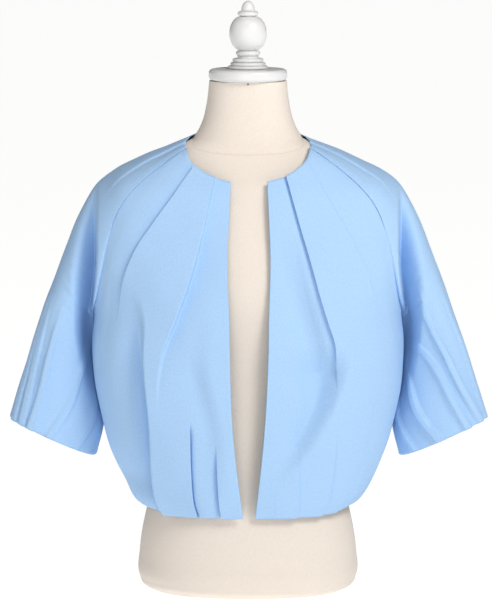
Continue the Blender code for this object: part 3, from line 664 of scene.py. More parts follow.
BACK_CENTRE = (0, 0, 0, 0, 0)
right_half, left_half = (half_body(BACK, side, BACK_CENTRE, BACK_FOLDS[side], "back half")
                         for side in (RIGHT, LEFT))
mirrored = right_half._replace(arcs=-right_half.arcs)
back = joined(turned_over(mirrored), left_half)
pieces["back"] = cloth_piece("back_cloth", back, ["first", "last", "top"])

# %% [markdown]
# ## The sleeves
#
# Each section of a sleeve is a smooth bend from its seam over the top line and down to the other
# seam. Near the neck it lies on the shoulder. Below the shoulder point it drops behind an edge,
# into the crevice beside the body, and lower down it is a wide tube with pleats let into its hem.

# %% Sections of a sleeve as bends
SEAM_STEP = 0.02
SECTION_SQUARE = 0.65
SETTLE_SHIFTS = np.linspace(-1.6, 1.6, 9)
SETTLE_REACH, SETTLE_FROM, SETTLE_PLACE = 0.8, 5, 0.22
SETTLE_IN, SETTLE_OUT = 2, 4


def sleeve_controls(face, side, rows):
    """Four control points of each section's half, from its seam to its top line."""
    def seam_at(place):
        angle, height = raglan_seam(face, place)
        on_body = jacket_point(angle, height, side, face)
        under_x = side * SLEEVE[FACE_NAME[face] + "_x"](place)
        under = np.stack([under_x, SLEEVE["under_y"](place), height], axis=-1)
        return np.where((place >= UNDERARM_ROW)[:, None], under, on_body), angle, height

    seam = seam_at(rows)[0]
    top_x = side * SLEEVE["top_x"](rows)
    top = np.stack([top_x, SLEEVE["top_y"](rows), SLEEVE["top_z"](rows)], axis=-1)
    on_seam = np.minimum(rows, UNDERARM_ROW - SEAM_STEP)
    start, angle, height = seam_at(on_seam)
    along = unit(seam_at(on_seam + SEAM_STEP)[0] - seam_at(np.maximum(on_seam - SEAM_STEP, 0))[0])
    off_body = unit(np.cross(jacket_normal(angle, height, side, face), along))
    off_body *= np.sign(np.sum(off_body * (top - start), axis=-1))[:, None]
    out = np.array([0.0, face, 0.0])
    on_body = 1 - SLEEVE["roundness"](rows)[:, None]
    reach = (SLEEVE["fullness"](rows) * np.linalg.norm(top - seam, axis=-1))[:, None]
    seam_handle = seam + on_body * reach * off_body
    top_handle = top + on_body * reach * out
    seam = seam + np.where((rows <= UNDERARM_ROW)[:, None], off_body, 0) * SEAM_GAP / 2
    seam = seam + np.where((rows >= UNDERARM_ROW)[:, None], out, 0) * SEAM_GAP / 2
    return np.stack([seam, seam_handle, top_handle, top], axis=1)


def section_points(face, side, rows, places):
    """Points of each section at places from its seam, 0, to its top line, 1."""
    t = places[..., None]
    p0, p1, p2, p3 = (sleeve_controls(face, side, rows)[:, None, k] for k in range(4))
    points = ((1 - t) ** 3 * p0 + 3 * (1 - t) ** 2 * t * p1
              + 3 * (1 - t) * t * t * p2 + t ** 3 * p3)
    swell = np.clip(4 * places * (1 - places), 0, 1) ** SECTION_SQUARE
    deep = (SLEEVE["roundness"](rows) * SLEEVE["half_depth"](rows))[:, None]
    points[..., 1] += face * deep * swell
    return points


def settled_sections(face, side, rows, places):
    """The sections' points, each averaged with its neighbours along the sleeve, as cloth hangs."""
    flat = section_points(face, side, rows, places)
    weights = np.exp(-0.5 * (SETTLE_SHIFTS / SETTLE_REACH) ** 2)
    settled = sum(weight * section_points(face, side, np.clip(rows + shift, 0, HEM_ROW), places)
                  for shift, weight in zip(SETTLE_SHIFTS, weights / weights.sum()))
    free = ease((rows - SETTLE_FROM) / SETTLE_IN) * ease((HEM_ROW - rows) / SETTLE_OUT)
    free = free[:, None] * ease(places / SETTLE_PLACE)
    return flat + free[..., None] * (settled - flat)


# %% [markdown]
# ## Pleats and crevice of a sleeve
#
# The table's five places are how far round a fold lies, from the seam at 0 to the top line at 1,
# at the neck, the shoulder, the under-arm, the elbow and the hem. Growing and fading are given in
# sections. The crevice isn't a fold in the cloth but a hollow that the hanging sleeve makes, so
# it simply moves the cloth back, most of all just below the shoulder point.

# %% The crevice beside the body
BEHIND_FROM, BEHIND_TO = 8.6, 9.3
Crevice = namedtuple("Crevice", "height edge width floor share")
CREVICE_ROWS = (
    Crevice(0.280, 0.2165, 0.018, -0.040, 0.0),
    Crevice(0.330, 0.2250, 0.020, -0.034, 0.5),
    Crevice(0.370, 0.2275, 0.024, -0.024, 0.9),
    Crevice(0.405, 0.2255, 0.028, -0.012, 1.0),
    Crevice(0.430, 0.2205, 0.034, -0.004, 1.0),
    Crevice(0.480, 0.2145, 0.042, 0.006, 1.0),
    Crevice(0.530, 0.2140, 0.042, 0.012, 0.9),
    Crevice(0.575, 0.2140, 0.038, 0.008, 0.6),
    Crevice(0.610, 0.2140, 0.034, 0.000, 0.0),
)
CREVICE_STEEP = 0.0060
BACK_CREVICE_FLOOR = 0.0550
CREVICE = table_columns(CREVICE_ROWS, "height")


def crevice_drop(points, rows, arcs, face, side):
    """How far the cloth beside the body falls back, towards the crevice's floor."""
    height = points[..., 2]
    past_edge = side * points[..., 0] - CREVICE["edge"](height)
    behind = ease((rows - BEHIND_FROM) / (BEHIND_TO - BEHIND_FROM))[:, None]
    share = np.maximum(ease(past_edge / CREVICE_STEEP), behind)
    share = share * (1 - ease(past_edge / CREVICE["width"](height)))
    share = share * CREVICE["share"](height) * ease(arcs / SEAM_QUIET)
    floor = CREVICE["floor"](height)
    if face == BACK:
        floor = np.maximum(floor, 0) + BACK_CREVICE_FLOOR
    proud = np.maximum(face * points[..., 1] - floor, 0)
    return -face * share * proud


# %% Lay out half a sleeve
FOLD_SECTIONS = (0, 4.5, 9, 11, 13)
SLEEVE_HALF_ROUND = 0.160
ROWS_ON_BODY, ROWS_OF_TUBE = 82, 70
SLEEVE_ROWS = np.concatenate([np.linspace(0, UNDERARM_ROW, ROWS_ON_BODY),
                              np.linspace(UNDERARM_ROW, HEM_ROW, ROWS_OF_TUBE)[1:]])
SLEEVE_RIPPLE = 0.5
SEAM_RISE, SEAM_RISE_RUN = 0.0009, 0.007
SLEEVE_GAP = 0.022
FOLDS_APART = 0.006
def half_sleeve(face, side, folds, name):
    rows = SLEEVE_ROWS
    guides = {}
    last = 0 * rows
    for fold in folds:
        last = np.maximum(curve_through(FOLD_SECTIONS, fold[1:6])(rows), last + FOLDS_APART)
        guides[fold.name] = last
    pressed = [guides[fold.name] for fold in folds if fold.lip <= CRISP_LIP]
    places = fold_columns(0 * rows, pressed, 0 * rows + 1, SLEEVE_HALF_ROUND, SLEEVE_GAP)
    flat = settled_sections(face, side, rows, places)
    across = unit(np.gradient(flat, axis=1))
    normals = unit(side * face * np.cross(np.gradient(flat, axis=0), across))

    arcs = arc_along(flat)
    lengths = np.linalg.norm(np.diff(flat, axis=0, prepend=flat[:1]), axis=-1).cumsum(axis=0)
    quiet = ease(arcs / SEAM_QUIET)
    lift = ripple(flat, side + SLEEVE_RIPPLE)
    slide = add_folds(lift, folds, guides, rows, places, arcs) * quiet
    lift *= quiet
    low = lowest_nearby(lift, arcs, UNDER_PLEAT) - CLOTH
    on_body = 1 - ease(rows - UNDERARM_ROW + 1)[:, None]
    lift += on_body * SEAM_RISE * np.exp(-arcs / SEAM_RISE_RUN)
    outer, inner = raised_faces(flat, normals, across, lift, low, slide, lengths[-1] - lengths)
    drop = crevice_drop(flat, rows, arcs, face, side)
    for layer in (outer, inner):
        layer[..., 1] += drop
    print(name, outer.shape[:2], "lift", round(lift.min(), 4), "to", round(lift.max(), 4))
    return Panel(outer, inner, arcs, lengths)


# %% Tables of sleeve folds
RIGHT_SLEEVE_FOLDS = (
    Fold("seam fold", .01, .01, .01, .035, .19, 11.5, 12.5, .001, .015, .003, .003, -1, .0004, lip=.0012),
    Fold("inner fold", .03, .03, .03, .105, .317, 11.1, 12.2, .001, .015, .003, .003, -1, .0004, lip=.0012),
    Fold("thin fold", .05, .05, .05, .33, .53, 9.9, 10.9, .0006, .02, .004, .0016, -1, .0005, lip=.0012),
    Fold("neck streak", .45, .42, .42, .42, .56, -1, 0, .0024, .02, .001, .012, -1, 0, 2, 5, .005),
    Fold("main pleat", .58, .58, .6, .645, .678, 9.2, 11.6, .0016, .03, .0075, .003, -1, .0008, lip=.0012),
    Fold("outer pleat", .83, .83, .85, .8, .75, 9.3, 12.4, .0012, .02, .006, .0026, -1, .0008, lip=.0012),
    Fold("edge pleat", .88, .88, .895, .865, .838, 9, 12.4, .0012, .02, .006, .0026, -1, .0008, lip=.0012),
)
LEFT_SLEEVE_FOLDS = (
    Fold("seam fold", .01, .01, .01, .06, .258, 11, 12.6, .001, .02, .0055, .0024, 1, .0006, lip=.0012),
    Fold("inner fold", .03, .03, .03, .24, .47, 10.3, 12, .001, .03, .0065, .0026, 1, .0006, lip=.0012),
    Fold("middle pleat", .06, .06, .06, .515, .7, 9.6, 12, .0012, .03, .008, .003, 1, .0008, lip=.0012),
    Fold("main pleat", .4, .42, .46, .65, .825, 8.4, 10.8, .001, .03, .008, .0028, 1, .0008, lip=.0012),
    Fold("neck streak", .5, .47, .5, .68, .84, -1, 0, .002, .02, .0006, .012, -1, 0, 2.2, 5, .003),
    Fold("edge pleat", .8, .8, .81, .875, .91, 9, 12.2, .001, .02, .005, .012, -1, .0008, lip=.0012),
)
SLEEVE_FOLDS = {RIGHT: RIGHT_SLEEVE_FOLDS, LEFT: LEFT_SLEEVE_FOLDS}
SLEEVE_BACK_FOLDS = (
    Fold("inner fold", .12, .12, .12, .18, .24, 11.2, 12.4, .0028, .024, .002, .01, 1, .0004),
    Fold("main pleat", .36, .36, .36, .44, .52, 10, 11.6, .0034, .05, .0014, .014, -1, .0012),
    Fold("outer pleat", .66, .66, .66, .71, .76, 9.8, 11.4, .003, .05, .0014, .014, -1, .0012),
)
print("sleeve folds:", [len(folds) for folds in SLEEVE_FOLDS.values()], len(SLEEVE_BACK_FOLDS))

# %% Make the sleeves
for side, name in ((RIGHT, "sleeve_right"), (LEFT, "sleeve_left")):
    front_half = half_sleeve(FRONT, side, SLEEVE_FOLDS[side], name + " front")
    back_half = half_sleeve(BACK, side, SLEEVE_BACK_FOLDS, name + " back")
    round_back = 2 * front_half.arcs[:, -1:] - back_half.arcs
    panel = joined(front_half, turned_over(back_half._replace(arcs=round_back)))
    pieces[name] = cloth_piece(name + "_cloth", panel, ["first", "last"])

# %% [markdown]
# ## The cotton
#
# The jacket is a closely woven cotton with a soft, even face. Its colour is almost flat, so the
# finish lives in small things: threads that cross at right angles, a slight unevenness of dye,
# and a faint bloom of fibre ends at grazing angles. The threads follow the grain map of each
# piece. They are bump only, because a thread is far thinner than the mesh.

# %% Helpers for materials
WAVE_REPEAT = 0.314
MIX_FIRST, MIX_SECOND, MIX_RESULT = 6, 7, 2


def new_material(name):
    """A new material, with its tree of nodes and its main shader."""
    material = bpy.data.materials.new(name)
    material.use_nodes = True
    return material, material.node_tree, material.node_tree.nodes["Principled BSDF"]


def set_sockets(tree, node, sockets):
    """Give each socket its value, or a link where the value is another node's output."""
    for name, value in sockets.items():
        if isinstance(value, bpy.types.NodeSocket):
            tree.links.new(value, node.inputs[name])
        else:
            node.inputs[name].default_value = value


def add_node(tree, kind, sockets, **settings):
    node = tree.nodes.new(kind)
    for name, value in settings.items():
        setattr(node, name, value)
    set_sockets(tree, node, sockets)
    return node


def woven_height(tree, vector, thread):
    """A plain weave: two sets of ridges at right angles that rise over each other in turn."""
    ridges = {"Vector": vector, "Scale": WAVE_REPEAT / thread, "Distortion": 0.6, "Detail": 1.0}
    warp, weft = (add_node(tree, "ShaderNodeTexWave", ridges, bands_direction=way) for way in ("X", "Y"))
    crossed = {0: warp.outputs["Fac"], 1: weft.outputs["Fac"]}
    return add_node(tree, "ShaderNodeMath", crossed, operation="MULTIPLY").outputs["Value"]


def mottle(tree, vector, scale, detail=4.0):
    sockets = {"Vector": vector, "Scale": scale, "Detail": detail}
    return add_node(tree, "ShaderNodeTexNoise", sockets).outputs["Fac"]


def colour_between(tree, factor, first, second):
    mix = add_node(tree, "ShaderNodeMix", {}, data_type="RGBA")
    set_sockets(tree, mix, {"Factor": factor, MIX_FIRST: first, MIX_SECOND: second})
    return mix.outputs[MIX_RESULT]


def add_bump(tree, height, strength, distance, **under):
    sockets = {"Height": height, "Strength": strength, "Distance": distance, **under}
    return add_node(tree, "ShaderNodeBump", sockets).outputs["Normal"]


# %% Cotton material
COTTON_COLOUR = (0.516, 0.712, 0.952, 1.0)
COTTON_DEEP = (0.406, 0.602, 0.862, 1.0)
THREAD = 0.0007
cotton, tree, shader = new_material("sky_blue_cotton")
grain = add_node(tree, "ShaderNodeUVMap", {}, uv_map="grain").outputs["UV"]
dye = mottle(tree, grain, scale=330, detail=3.0)
slub = add_bump(tree, dye, strength=0.25, distance=0.0006)
weave = woven_height(tree, grain, THREAD)
set_sockets(tree, shader, {
    "Base Color": colour_between(tree, dye, COTTON_DEEP, COTTON_COLOUR),
    "Normal": add_bump(tree, weave, strength=0.25, distance=0.00015, Normal=slub),
    "Roughness": 0.78,
    "Specular IOR Level": 0.10,
    "Sheen Weight": 0.06,
    "Sheen Roughness": 0.45,
    "Sheen Tint": (0.80, 0.90, 1.0, 1.0),
})
for piece in pieces.values():
    piece.data.materials.append(cotton)
print("cotton on", len(pieces), "pieces")

# %% [markdown]
# ## The dress form
#
# The form is a linen cover drawn tight over a moulded torso. A loft through level rings gives the
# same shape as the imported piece, with enough rows to be smooth. The cover has a sewn line round
# the base of the neck. It shows as a shallow groove, so the rows there are laid close together.

# %% Rings of the form
FORM_POWER = 2.3
FORM_RINGS = (
    Ring(0.0000, 0.1380, 0.0980, 0.0960),
    Ring(0.0060, 0.1500, 0.1100, 0.1075),
    Ring(0.0200, 0.1580, 0.1180, 0.1155),
    Ring(0.0550, 0.1580, 0.1185, 0.1170),
    Ring(0.0900, 0.1535, 0.1175, 0.1170),
    Ring(0.1220, 0.1465, 0.1155, 0.1145),
    Ring(0.1700, 0.1350, 0.1145, 0.1060),
    Ring(0.2300, 0.1235, 0.1135, 0.0940),
    Ring(0.2900, 0.1190, 0.1130, 0.0850),
    Ring(0.3400, 0.1260, 0.1150, 0.0850),
    Ring(0.3900, 0.1400, 0.1195, 0.0900),
    Ring(0.4300, 0.1500, 0.1215, 0.0960),
    Ring(0.4800, 0.1620, 0.1150, 0.1020),
    Ring(0.5300, 0.1750, 0.1030, 0.1050),
    Ring(0.5700, 0.1840, 0.0915, 0.1020),
    Ring(0.5950, 0.1850, 0.0830, 0.0960),
    Ring(0.6070, 0.1785, 0.0750, 0.0870),
    Ring(0.6215, 0.1615, 0.0660, 0.0780),
    Ring(0.6355, 0.1339, 0.0580, 0.0690),
    Ring(0.6475, 0.1039, 0.0545, 0.0640),
    Ring(0.6550, 0.0825, 0.0535, 0.0620),
    Ring(0.6640, 0.0747, 0.0520, 0.0595),
    Ring(0.6815, 0.0660, 0.0500, 0.0565),
    Ring(0.7050, 0.0600, 0.0485, 0.0545),
    Ring(0.7400, 0.0558, 0.0470, 0.0530),
)
FORM_SIDES = 160
FORM_STRETCHES = ((0, 0.022, 16), (0.026, 0.622, 150), (0.624, 0.670, 47), (0.673, 0.740, 24))
FORM_SHARP = math.radians(50)
NECK_SEAM_FRONT, NECK_SEAM_SIDE, NECK_SEAM_BACK = 0.6373, 0.6570, 0.6660
NECK_SEAM_DEEP, NECK_SEAM_WIDE = 0.0007, 0.0011
FORM = table_columns(FORM_RINGS, "height")


def form_point(turn, height):
    """A point of the form's cover. The turn is 0 at the front and a quarter at the left side."""
    power = 2 / FORM_POWER
    sine, cosine = np.sin(turn), np.cos(turn)
    x = FORM["half_width"](height) * np.sign(sine) * np.abs(sine) ** power
    depth = np.where(cosine > 0, FORM["front"](height), FORM["back"](height))
    return np.stack([x, -depth * np.sign(cosine) * np.abs(cosine) ** power, height + 0 * x], axis=-1)


def neck_seam_height(turn):
    lean = np.cos(turn)
    end = np.where(lean > 0, NECK_SEAM_FRONT, NECK_SEAM_BACK)
    return NECK_SEAM_SIDE + (end - NECK_SEAM_SIDE) * lean ** 2


# %% Form mesh
turns = np.linspace(0, 2 * math.pi, FORM_SIDES, endpoint=False)
form_heights = np.concatenate([np.linspace(*stretch) for stretch in FORM_STRETCHES])[:, None]
cover = form_point(turns, form_heights)
off_seam = (form_heights - neck_seam_height(turns)) / NECK_SEAM_WIDE
groove = NECK_SEAM_DEEP * np.exp(-off_seam ** 2)
cover[..., :2] -= unit(cover[..., :2]) * groove[..., None]
rows, sides = cover.shape[:2]
corner = np.arange(rows - 1)[:, None] * sides
around = np.arange(sides)
beside = (around + 1) % sides
quads = [corner + around, corner + beside, corner + sides + beside, corner + sides + around]
form_faces = np.stack(quads, axis=-1).reshape(-1, 4).tolist()
form_faces.append(around[::-1].tolist())
form_faces.append(((rows - 1) * sides + around).tolist())
form_mesh = bpy.data.meshes.new("form_cover")
form_mesh.from_pydata(cover.reshape(-1, 3).tolist(), [], form_faces)
form_mesh.shade_smooth()
form_mesh.set_sharp_from_angle(angle=FORM_SHARP)
form = add_object("form_cover", form_mesh)
print("form cover:", len(form_mesh.polygons), "faces")

# %% [markdown]
# ## Linen
#
# Natural linen is an open plain weave of uneven threads. Its colour wanders a little from thread
# to thread, darker where the threads dip. The weave is laid by place, not by a map, because the
# form has no seams to cut a map along.

# %% Linen material
LINEN_COLOUR = (0.872, 0.812, 0.752, 1.0)
LINEN_DEEP = (0.794, 0.716, 0.640, 1.0)
STREAK_STRETCH = (1.0, 1.0, 0.35)


def object_place(tree):
    return add_node(tree, "ShaderNodeTexCoord", {}).outputs["Object"]


linen, tree, shader = new_material("natural_linen")
place = object_place(tree)
stretch = add_node(tree, "ShaderNodeMapping", {"Vector": place, "Scale": STREAK_STRETCH})
streaks = mottle(tree, stretch.outputs["Vector"], scale=620, detail=3.0)
threads = add_bump(tree, streaks, strength=0.35, distance=0.0004)
coarse = mottle(tree, place, scale=900, detail=2.0)
set_sockets(tree, shader, {
    "Base Color": colour_between(tree, streaks, LINEN_DEEP, LINEN_COLOUR),
    "Normal": add_bump(tree, coarse, strength=0.25, distance=0.0003, Normal=threads),
    "Roughness": 0.88,
    "Specular IOR Level": 0.2,
    "Sheen Weight": 0.08,
})
form.data.materials.append(linen)
print("linen nodes:", len(tree.nodes))

# %% [markdown]
# ## The neck's stitches and tack
#
# A row of small stitches lies in the groove at the base of the neck, and one small tack holds the
# cover's edge under the cap. Both are tiny, but they tell the eye that the cover is sewn. The
# stitches are short rounded bars, made in one mesh by a loop.

# %% One stitch
STITCH_LENGTH, STITCH_GAP, STITCH_THICK = 0.0024, 0.0012, 0.00028
STITCH_RINGS = ((0, 0.35), (0.18, 1.0), (0.82, 1.0), (1, 0.35))
STITCH_SIDES = 6
STITCH_TINT = (0.62, 0.50, 0.39, 1.0)
SEAM_LINE_POINTS = 4000


def stitch_bar(whole, start, end, thick):
    """One stitch: a six-sided bar with drawn-in ends, between two points."""
    start, end = Vector(start), Vector(end)
    lengthways = (end - start).normalized()
    one = lengthways.orthogonal().normalized()
    two = lengthways.cross(one)
    angles = np.arange(STITCH_SIDES) * 2 * math.pi / STITCH_SIDES
    rings = []
    for share, size in STITCH_RINGS:
        middle = start.lerp(end, share)
        rings.append([whole.verts.new(middle + thick * size * (math.cos(a) * one + math.sin(a) * two))
                      for a in angles])
    for near, far in zip(rings[:-1], rings[1:]):
        for k in range(STITCH_SIDES):
            beside = (k + 1) % STITCH_SIDES
            whole.faces.new((near[k], near[beside], far[beside], far[k]))
    whole.faces.new(rings[0][::-1])
    whole.faces.new(rings[-1])


def smooth_piece(name, whole):
    """A smooth piece from an edited mesh, which is freed."""
    mesh = bpy.data.meshes.new(name)
    whole.to_mesh(mesh)
    whole.free()
    mesh.shade_smooth()
    return add_object(name, mesh)


# %% Stitches
fine_turns = np.linspace(0, 2 * math.pi, SEAM_LINE_POINTS)
line = form_point(fine_turns, neck_seam_height(fine_turns))
line[:, :2] -= unit(line[:, :2]) * (NECK_SEAM_DEEP - STITCH_THICK)
run = np.concatenate([[0], np.cumsum(np.linalg.norm(np.diff(line, axis=0), axis=1))])
stitch_starts = np.arange(0, run[-1] - STITCH_LENGTH, STITCH_LENGTH + STITCH_GAP)
stitches = bmesh.new()
for start in stitch_starts:
    ends = [[np.interp(s, run, line[:, k]) for k in range(3)] for s in (start, start + STITCH_LENGTH)]
    stitch_bar(stitches, *ends, STITCH_THICK)
bmesh.ops.recalc_face_normals(stitches, faces=stitches.faces)
neck_stitches = smooth_piece("neck_stitches", stitches)
thread, tree, shader = new_material("linen_thread")
place = object_place(tree)
set_sockets(tree, shader, {
    "Base Color": colour_between(tree, mottle(tree, place, scale=900), STITCH_TINT, LINEN_DEEP),
    "Normal": add_bump(tree, mottle(tree, place, scale=4000), strength=0.3, distance=0.0001),
    "Roughness": 0.8,
})
neck_stitches.data.materials.append(thread)
print("stitches:", len(stitch_starts))

# %% Tack
TACK_RADIUS, TACK_HEIGHT, TACK_DROP = 0.0013, 0.0007, 0.0022
TACK_ROUND, TACK_RINGS = 20, 12
TACK_DARK, TACK_WORN = (0.16, 0.10, 0.06, 1), (0.30, 0.20, 0.11, 1)
tack_seat = form_point(np.array(0.0), np.array(FORM_RINGS[-1].height - TACK_DROP))
tack_head = bmesh.new()
bmesh.ops.create_uvsphere(tack_head, u_segments=TACK_ROUND, v_segments=TACK_RINGS, radius=TACK_RADIUS)
for vertex in tack_head.verts:
    flattened = vertex.co.y * TACK_HEIGHT / TACK_RADIUS
    vertex.co = Vector((vertex.co.x, flattened, vertex.co.z)) + Vector(tack_seat)
tack = smooth_piece("neck_tack", tack_head)
darkened, tree, shader = new_material("darkened_brass")
set_sockets(tree, shader, {
    "Base Color": colour_between(tree, mottle(tree, object_place(tree), scale=1500), TACK_DARK, TACK_WORN),
    "Metallic": 0.8,
    "Roughness": 0.45,
})
tack.data.materials.append(darkened)
print("tack:", len(tack.data.polygons), "faces")

# %% [markdown]
# ## The neck cap and the finial
#
# Both were turned on a lathe, so each is a profile swept round an axis by a Screw modifier. A
# turner works in beads and coves: every bead in the table swells from its edge radius to its full
# radius. The steps are many, because white satin paint shows every flat.

# %% Profiles and the lathe
TURNED_STEPS = 96
TURNED_MERGE = 0.00005
CAP_BOTTOM, CAP_TOP, CAP_RADIUS, CAP_ROUNDING = 0.7403, 0.7570, 0.0566, 0.0060
FINIAL_BOTTOM, FINIAL_TOP, FINIAL_TIP_RADIUS = 0.7573, 0.8550, 0.0097
Bead = namedtuple("Bead", "name top bottom edge_radius full_radius lean points")
FINIAL_BEADS = (
    Bead("collar", 0.8405, 0.8325, 0.0085, 0.0152, 90, 13),
    Bead("ball", 0.8325, 0.7835, 0.0100, 0.0270, 78, 33),
    Bead("lower collar", 0.7835, 0.7755, 0.0125, 0.0177, 90, 13),
    Bead("waist", 0.7755, 0.7725, 0.0148, 0.0150, 90, 5),
    Bead("upper step", 0.7725, 0.7665, 0.0185, 0.0225, 90, 11),
    Bead("lower step", 0.7665, 0.7615, 0.0235, 0.0254, 90, 9),
    Bead("foot", 0.7615, FINIAL_BOTTOM, 0.0270, 0.0290, 90, 9),
)


def arc_points(centre, radii, start, end, count):
    angles = np.radians(np.linspace(start, end, count))
    return [(centre[0] + radii[0] * math.cos(a), centre[1] + radii[1] * math.sin(a)) for a in angles]


def turned_piece(name, profile):
    mesh = bpy.data.meshes.new(name)
    edges = [(k, k + 1) for k in range(len(profile) - 1)]
    mesh.from_pydata([(radius, 0.0, height) for radius, height in profile], edges, [])
    piece = add_object(name, mesh)
    lathe = piece.modifiers.new("lathe", "SCREW")
    lathe.steps = lathe.render_steps = TURNED_STEPS
    lathe.use_merge_vertices = True
    lathe.merge_threshold = TURNED_MERGE
    lathe.use_smooth_shade = True
    return piece


# %% Turn the cap and the finial
ROUNDING_POINTS, TIP_POINTS = 13, 17
cap_inner = CAP_RADIUS - CAP_ROUNDING
cap_round = (CAP_ROUNDING, CAP_ROUNDING)
cap_profile = [(share * cap_inner, CAP_TOP) for share in (0.0, 0.5, 0.97)]
cap_profile += arc_points((cap_inner, CAP_TOP - CAP_ROUNDING), cap_round, 90, 0, ROUNDING_POINTS)
cap_profile += arc_points((cap_inner, CAP_BOTTOM + CAP_ROUNDING), cap_round, 0, -90, ROUNDING_POINTS)
cap_profile += [(share * cap_inner, CAP_BOTTOM) for share in (0.97, 0.0)]
tip_bottom = FINIAL_BEADS[0].top
tip_round = (FINIAL_TIP_RADIUS, FINIAL_TOP - tip_bottom)
finial_profile = arc_points((0.0, tip_bottom), tip_round, 90, 0, TIP_POINTS)
finial_profile[0] = (0.0, FINIAL_TOP)
for bead in FINIAL_BEADS:
    centre = (bead.edge_radius, (bead.top + bead.bottom) / 2)
    swell = (bead.full_radius - bead.edge_radius, (bead.top - bead.bottom) / 2)
    finial_profile += arc_points(centre, swell, bead.lean, -bead.lean, bead.points)
finial_profile.append((0.0, FINIAL_BOTTOM))
cap = turned_piece("neck_cap_painted", cap_profile)
finial = turned_piece("finial_painted", finial_profile)
print("profiles:", len(cap_profile), "and", len(finial_profile), "points")

# %% [markdown]
# ## White satin paint
#
# Brushed paint over turned wood is smooth but not perfect: it has faint ripples round the piece
# and small changes of gloss. A little clear coat gives the long soft highlight on the ball.

# %% Paint material
PAINT_WHITE = (0.820, 0.825, 0.835, 1.0)
PAINT_SHADE = (0.790, 0.793, 0.802, 1.0)
GLOSSIEST, DULLEST = 0.28, 0.40
paint, tree, shader = new_material("white_painted_wood")
place = object_place(tree)
gloss_range = {"Value": mottle(tree, place, scale=90), "To Min": GLOSSIEST, "To Max": DULLEST}
gloss = add_node(tree, "ShaderNodeMapRange", gloss_range)
set_sockets(tree, shader, {
    "Base Color": colour_between(tree, mottle(tree, place, scale=60), PAINT_SHADE, PAINT_WHITE),
    "Normal": add_bump(tree, mottle(tree, place, scale=260), strength=0.05, distance=0.0006),
    "Roughness": gloss.outputs["Result"],
    "Coat Weight": 0.15,
    "Coat Roughness": 0.2,
})
for piece in (cap, finial):
    piece.data.materials.append(paint)
print("paint nodes:", len(tree.nodes))

# %% [markdown]
# ## Floor and light
#
# The picture has a white studio, where so much white stands around that shadows stay pale. Four
# round panels of light make it: a key from high on the front right that shapes the pleats, a broad
# fill near the camera, a weak one from the left side, and one from above for the shoulders. The
# floor is a plain pale plane with a glow of its own, so that it stays almost white behind the object.

# %% Floor
FLOOR_HALF, FLOOR_DROP = 30.0, 0.0005
FLOOR_CORNERS = ((-1, -1), (1, -1), (1, 1), (-1, 1))
floor_mesh = bpy.data.meshes.new("floor")
floor_mesh.from_pydata([(FLOOR_HALF * x, FLOOR_HALF * y, 0) for x, y in FLOOR_CORNERS], [], [(0, 1, 2, 3)])
floor = add_object("floor", floor_mesh)
floor.location.z = -FLOOR_DROP
pale, tree, shader = new_material("pale_floor")
set_sockets(tree, shader, {
    "Base Color": (0.30, 0.30, 0.30, 1.0),
    "Roughness": 0.9,
    "Specular IOR Level": 0.0,
    "Emission Color": (1.0, 1.0, 0.995, 1.0),
    "Emission Strength": 0.93,
})
floor.data.materials.append(pale)
print("floor:", [round(k) for k in floor.dimensions])

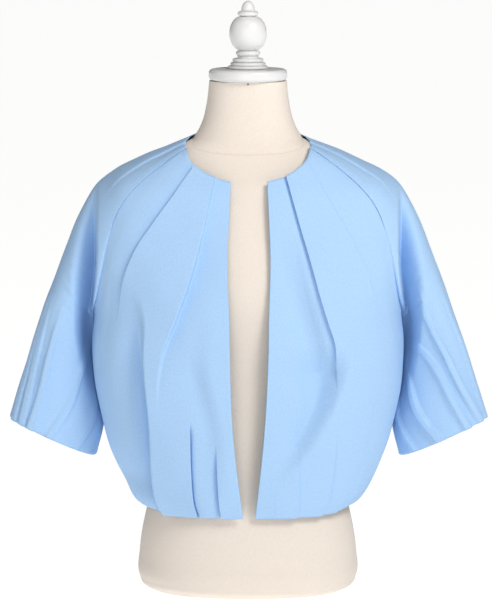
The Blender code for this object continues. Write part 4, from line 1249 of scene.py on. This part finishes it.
# %% Lights
LIGHT_CENTRE = Vector((0, 0, 0.42))
WARM_WHITE, WARMER_WHITE = (1.0, 0.985, 0.965), (1.0, 0.98, 0.95)
PanelLight = namedtuple("PanelLight", "name azimuth elevation distance size power colour")
LIGHTS = (
    PanelLight("key", 38, 40, 3.2, 1.3, 53, WARM_WHITE),
    PanelLight("fill", -8, 9, 3.4, 2.4, 20, WARMER_WHITE),
    PanelLight("side", -80, 22, 3.4, 2.2, 8, WARM_WHITE),
    PanelLight("top", -10, 74, 3.2, 2.2, 15, WARM_WHITE),
)
WORLD_COLOUR, WORLD_STRENGTH = (1.0, 0.975, 0.94, 1.0), 0.15
PICTURE_GAMMA = 0.85

for light in LIGHTS:
    a, e = math.radians(light.azimuth), math.radians(light.elevation)
    direction = Vector((math.sin(a) * math.cos(e), -math.cos(a) * math.cos(e), math.sin(e)))
    lamp_data = bpy.data.lights.new(light.name, "AREA")
    lamp_data.shape = "DISK"
    lamp_data.size = light.size
    lamp_data.energy = light.power
    lamp_data.color = light.colour
    lamp = add_object(light.name, lamp_data)
    lamp.location = LIGHT_CENTRE + light.distance * direction
    lamp.rotation_mode = "QUATERNION"
    lamp.rotation_quaternion = (-direction).to_track_quat("-Z", "Y")
    print(light.name, "light at", [round(k, 2) for k in lamp.location])
world = bpy.data.worlds.new("studio")
world.use_nodes = True
background = world.node_tree.nodes["Background"]
set_sockets(world.node_tree, background, {"Color": WORLD_COLOUR, "Strength": WORLD_STRENGTH})
scene.world = world
scene.view_settings.view_transform = "Standard"
scene.view_settings.look = "None"
scene.view_settings.gamma = PICTURE_GAMMA

# %% [markdown]
# ## Hand the pieces over
#
# Every piece rides on the one body and takes the place of its imported node. A table lists the
# size each cloth piece was cut, which is larger than it hangs, because pleats take up cloth.

# %% Ride and replace
Cut = namedtuple("Cut", "node width length area")
CUTS = (
    Cut("front_right", 0.36, 0.60, 0.147),
    Cut("front_left", 0.36, 0.60, 0.147),
    Cut("back", 0.66, 0.60, 0.325),
    Cut("sleeve_right", 0.50, 0.56, 0.168),
    Cut("sleeve_left", 0.50, 0.56, 0.168),
)
for cut in CUTS:
    cloth = pieces[cut.node]
    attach(cloth, "root")
    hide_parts(cut.node)
hard_pieces = (
    (form, "form_torso", "linen"),
    (cap, "neck_cap", "white_paint"),
    (finial, "finial", "white_paint"),
)
for piece, node, slot in hard_pieces:
    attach(piece, "root")
    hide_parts(node)
for piece in (neck_stitches, tack):
    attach(piece, "root")
print("cloth pieces:", len(CUTS), "other pieces:", len(hard_pieces) + 2)
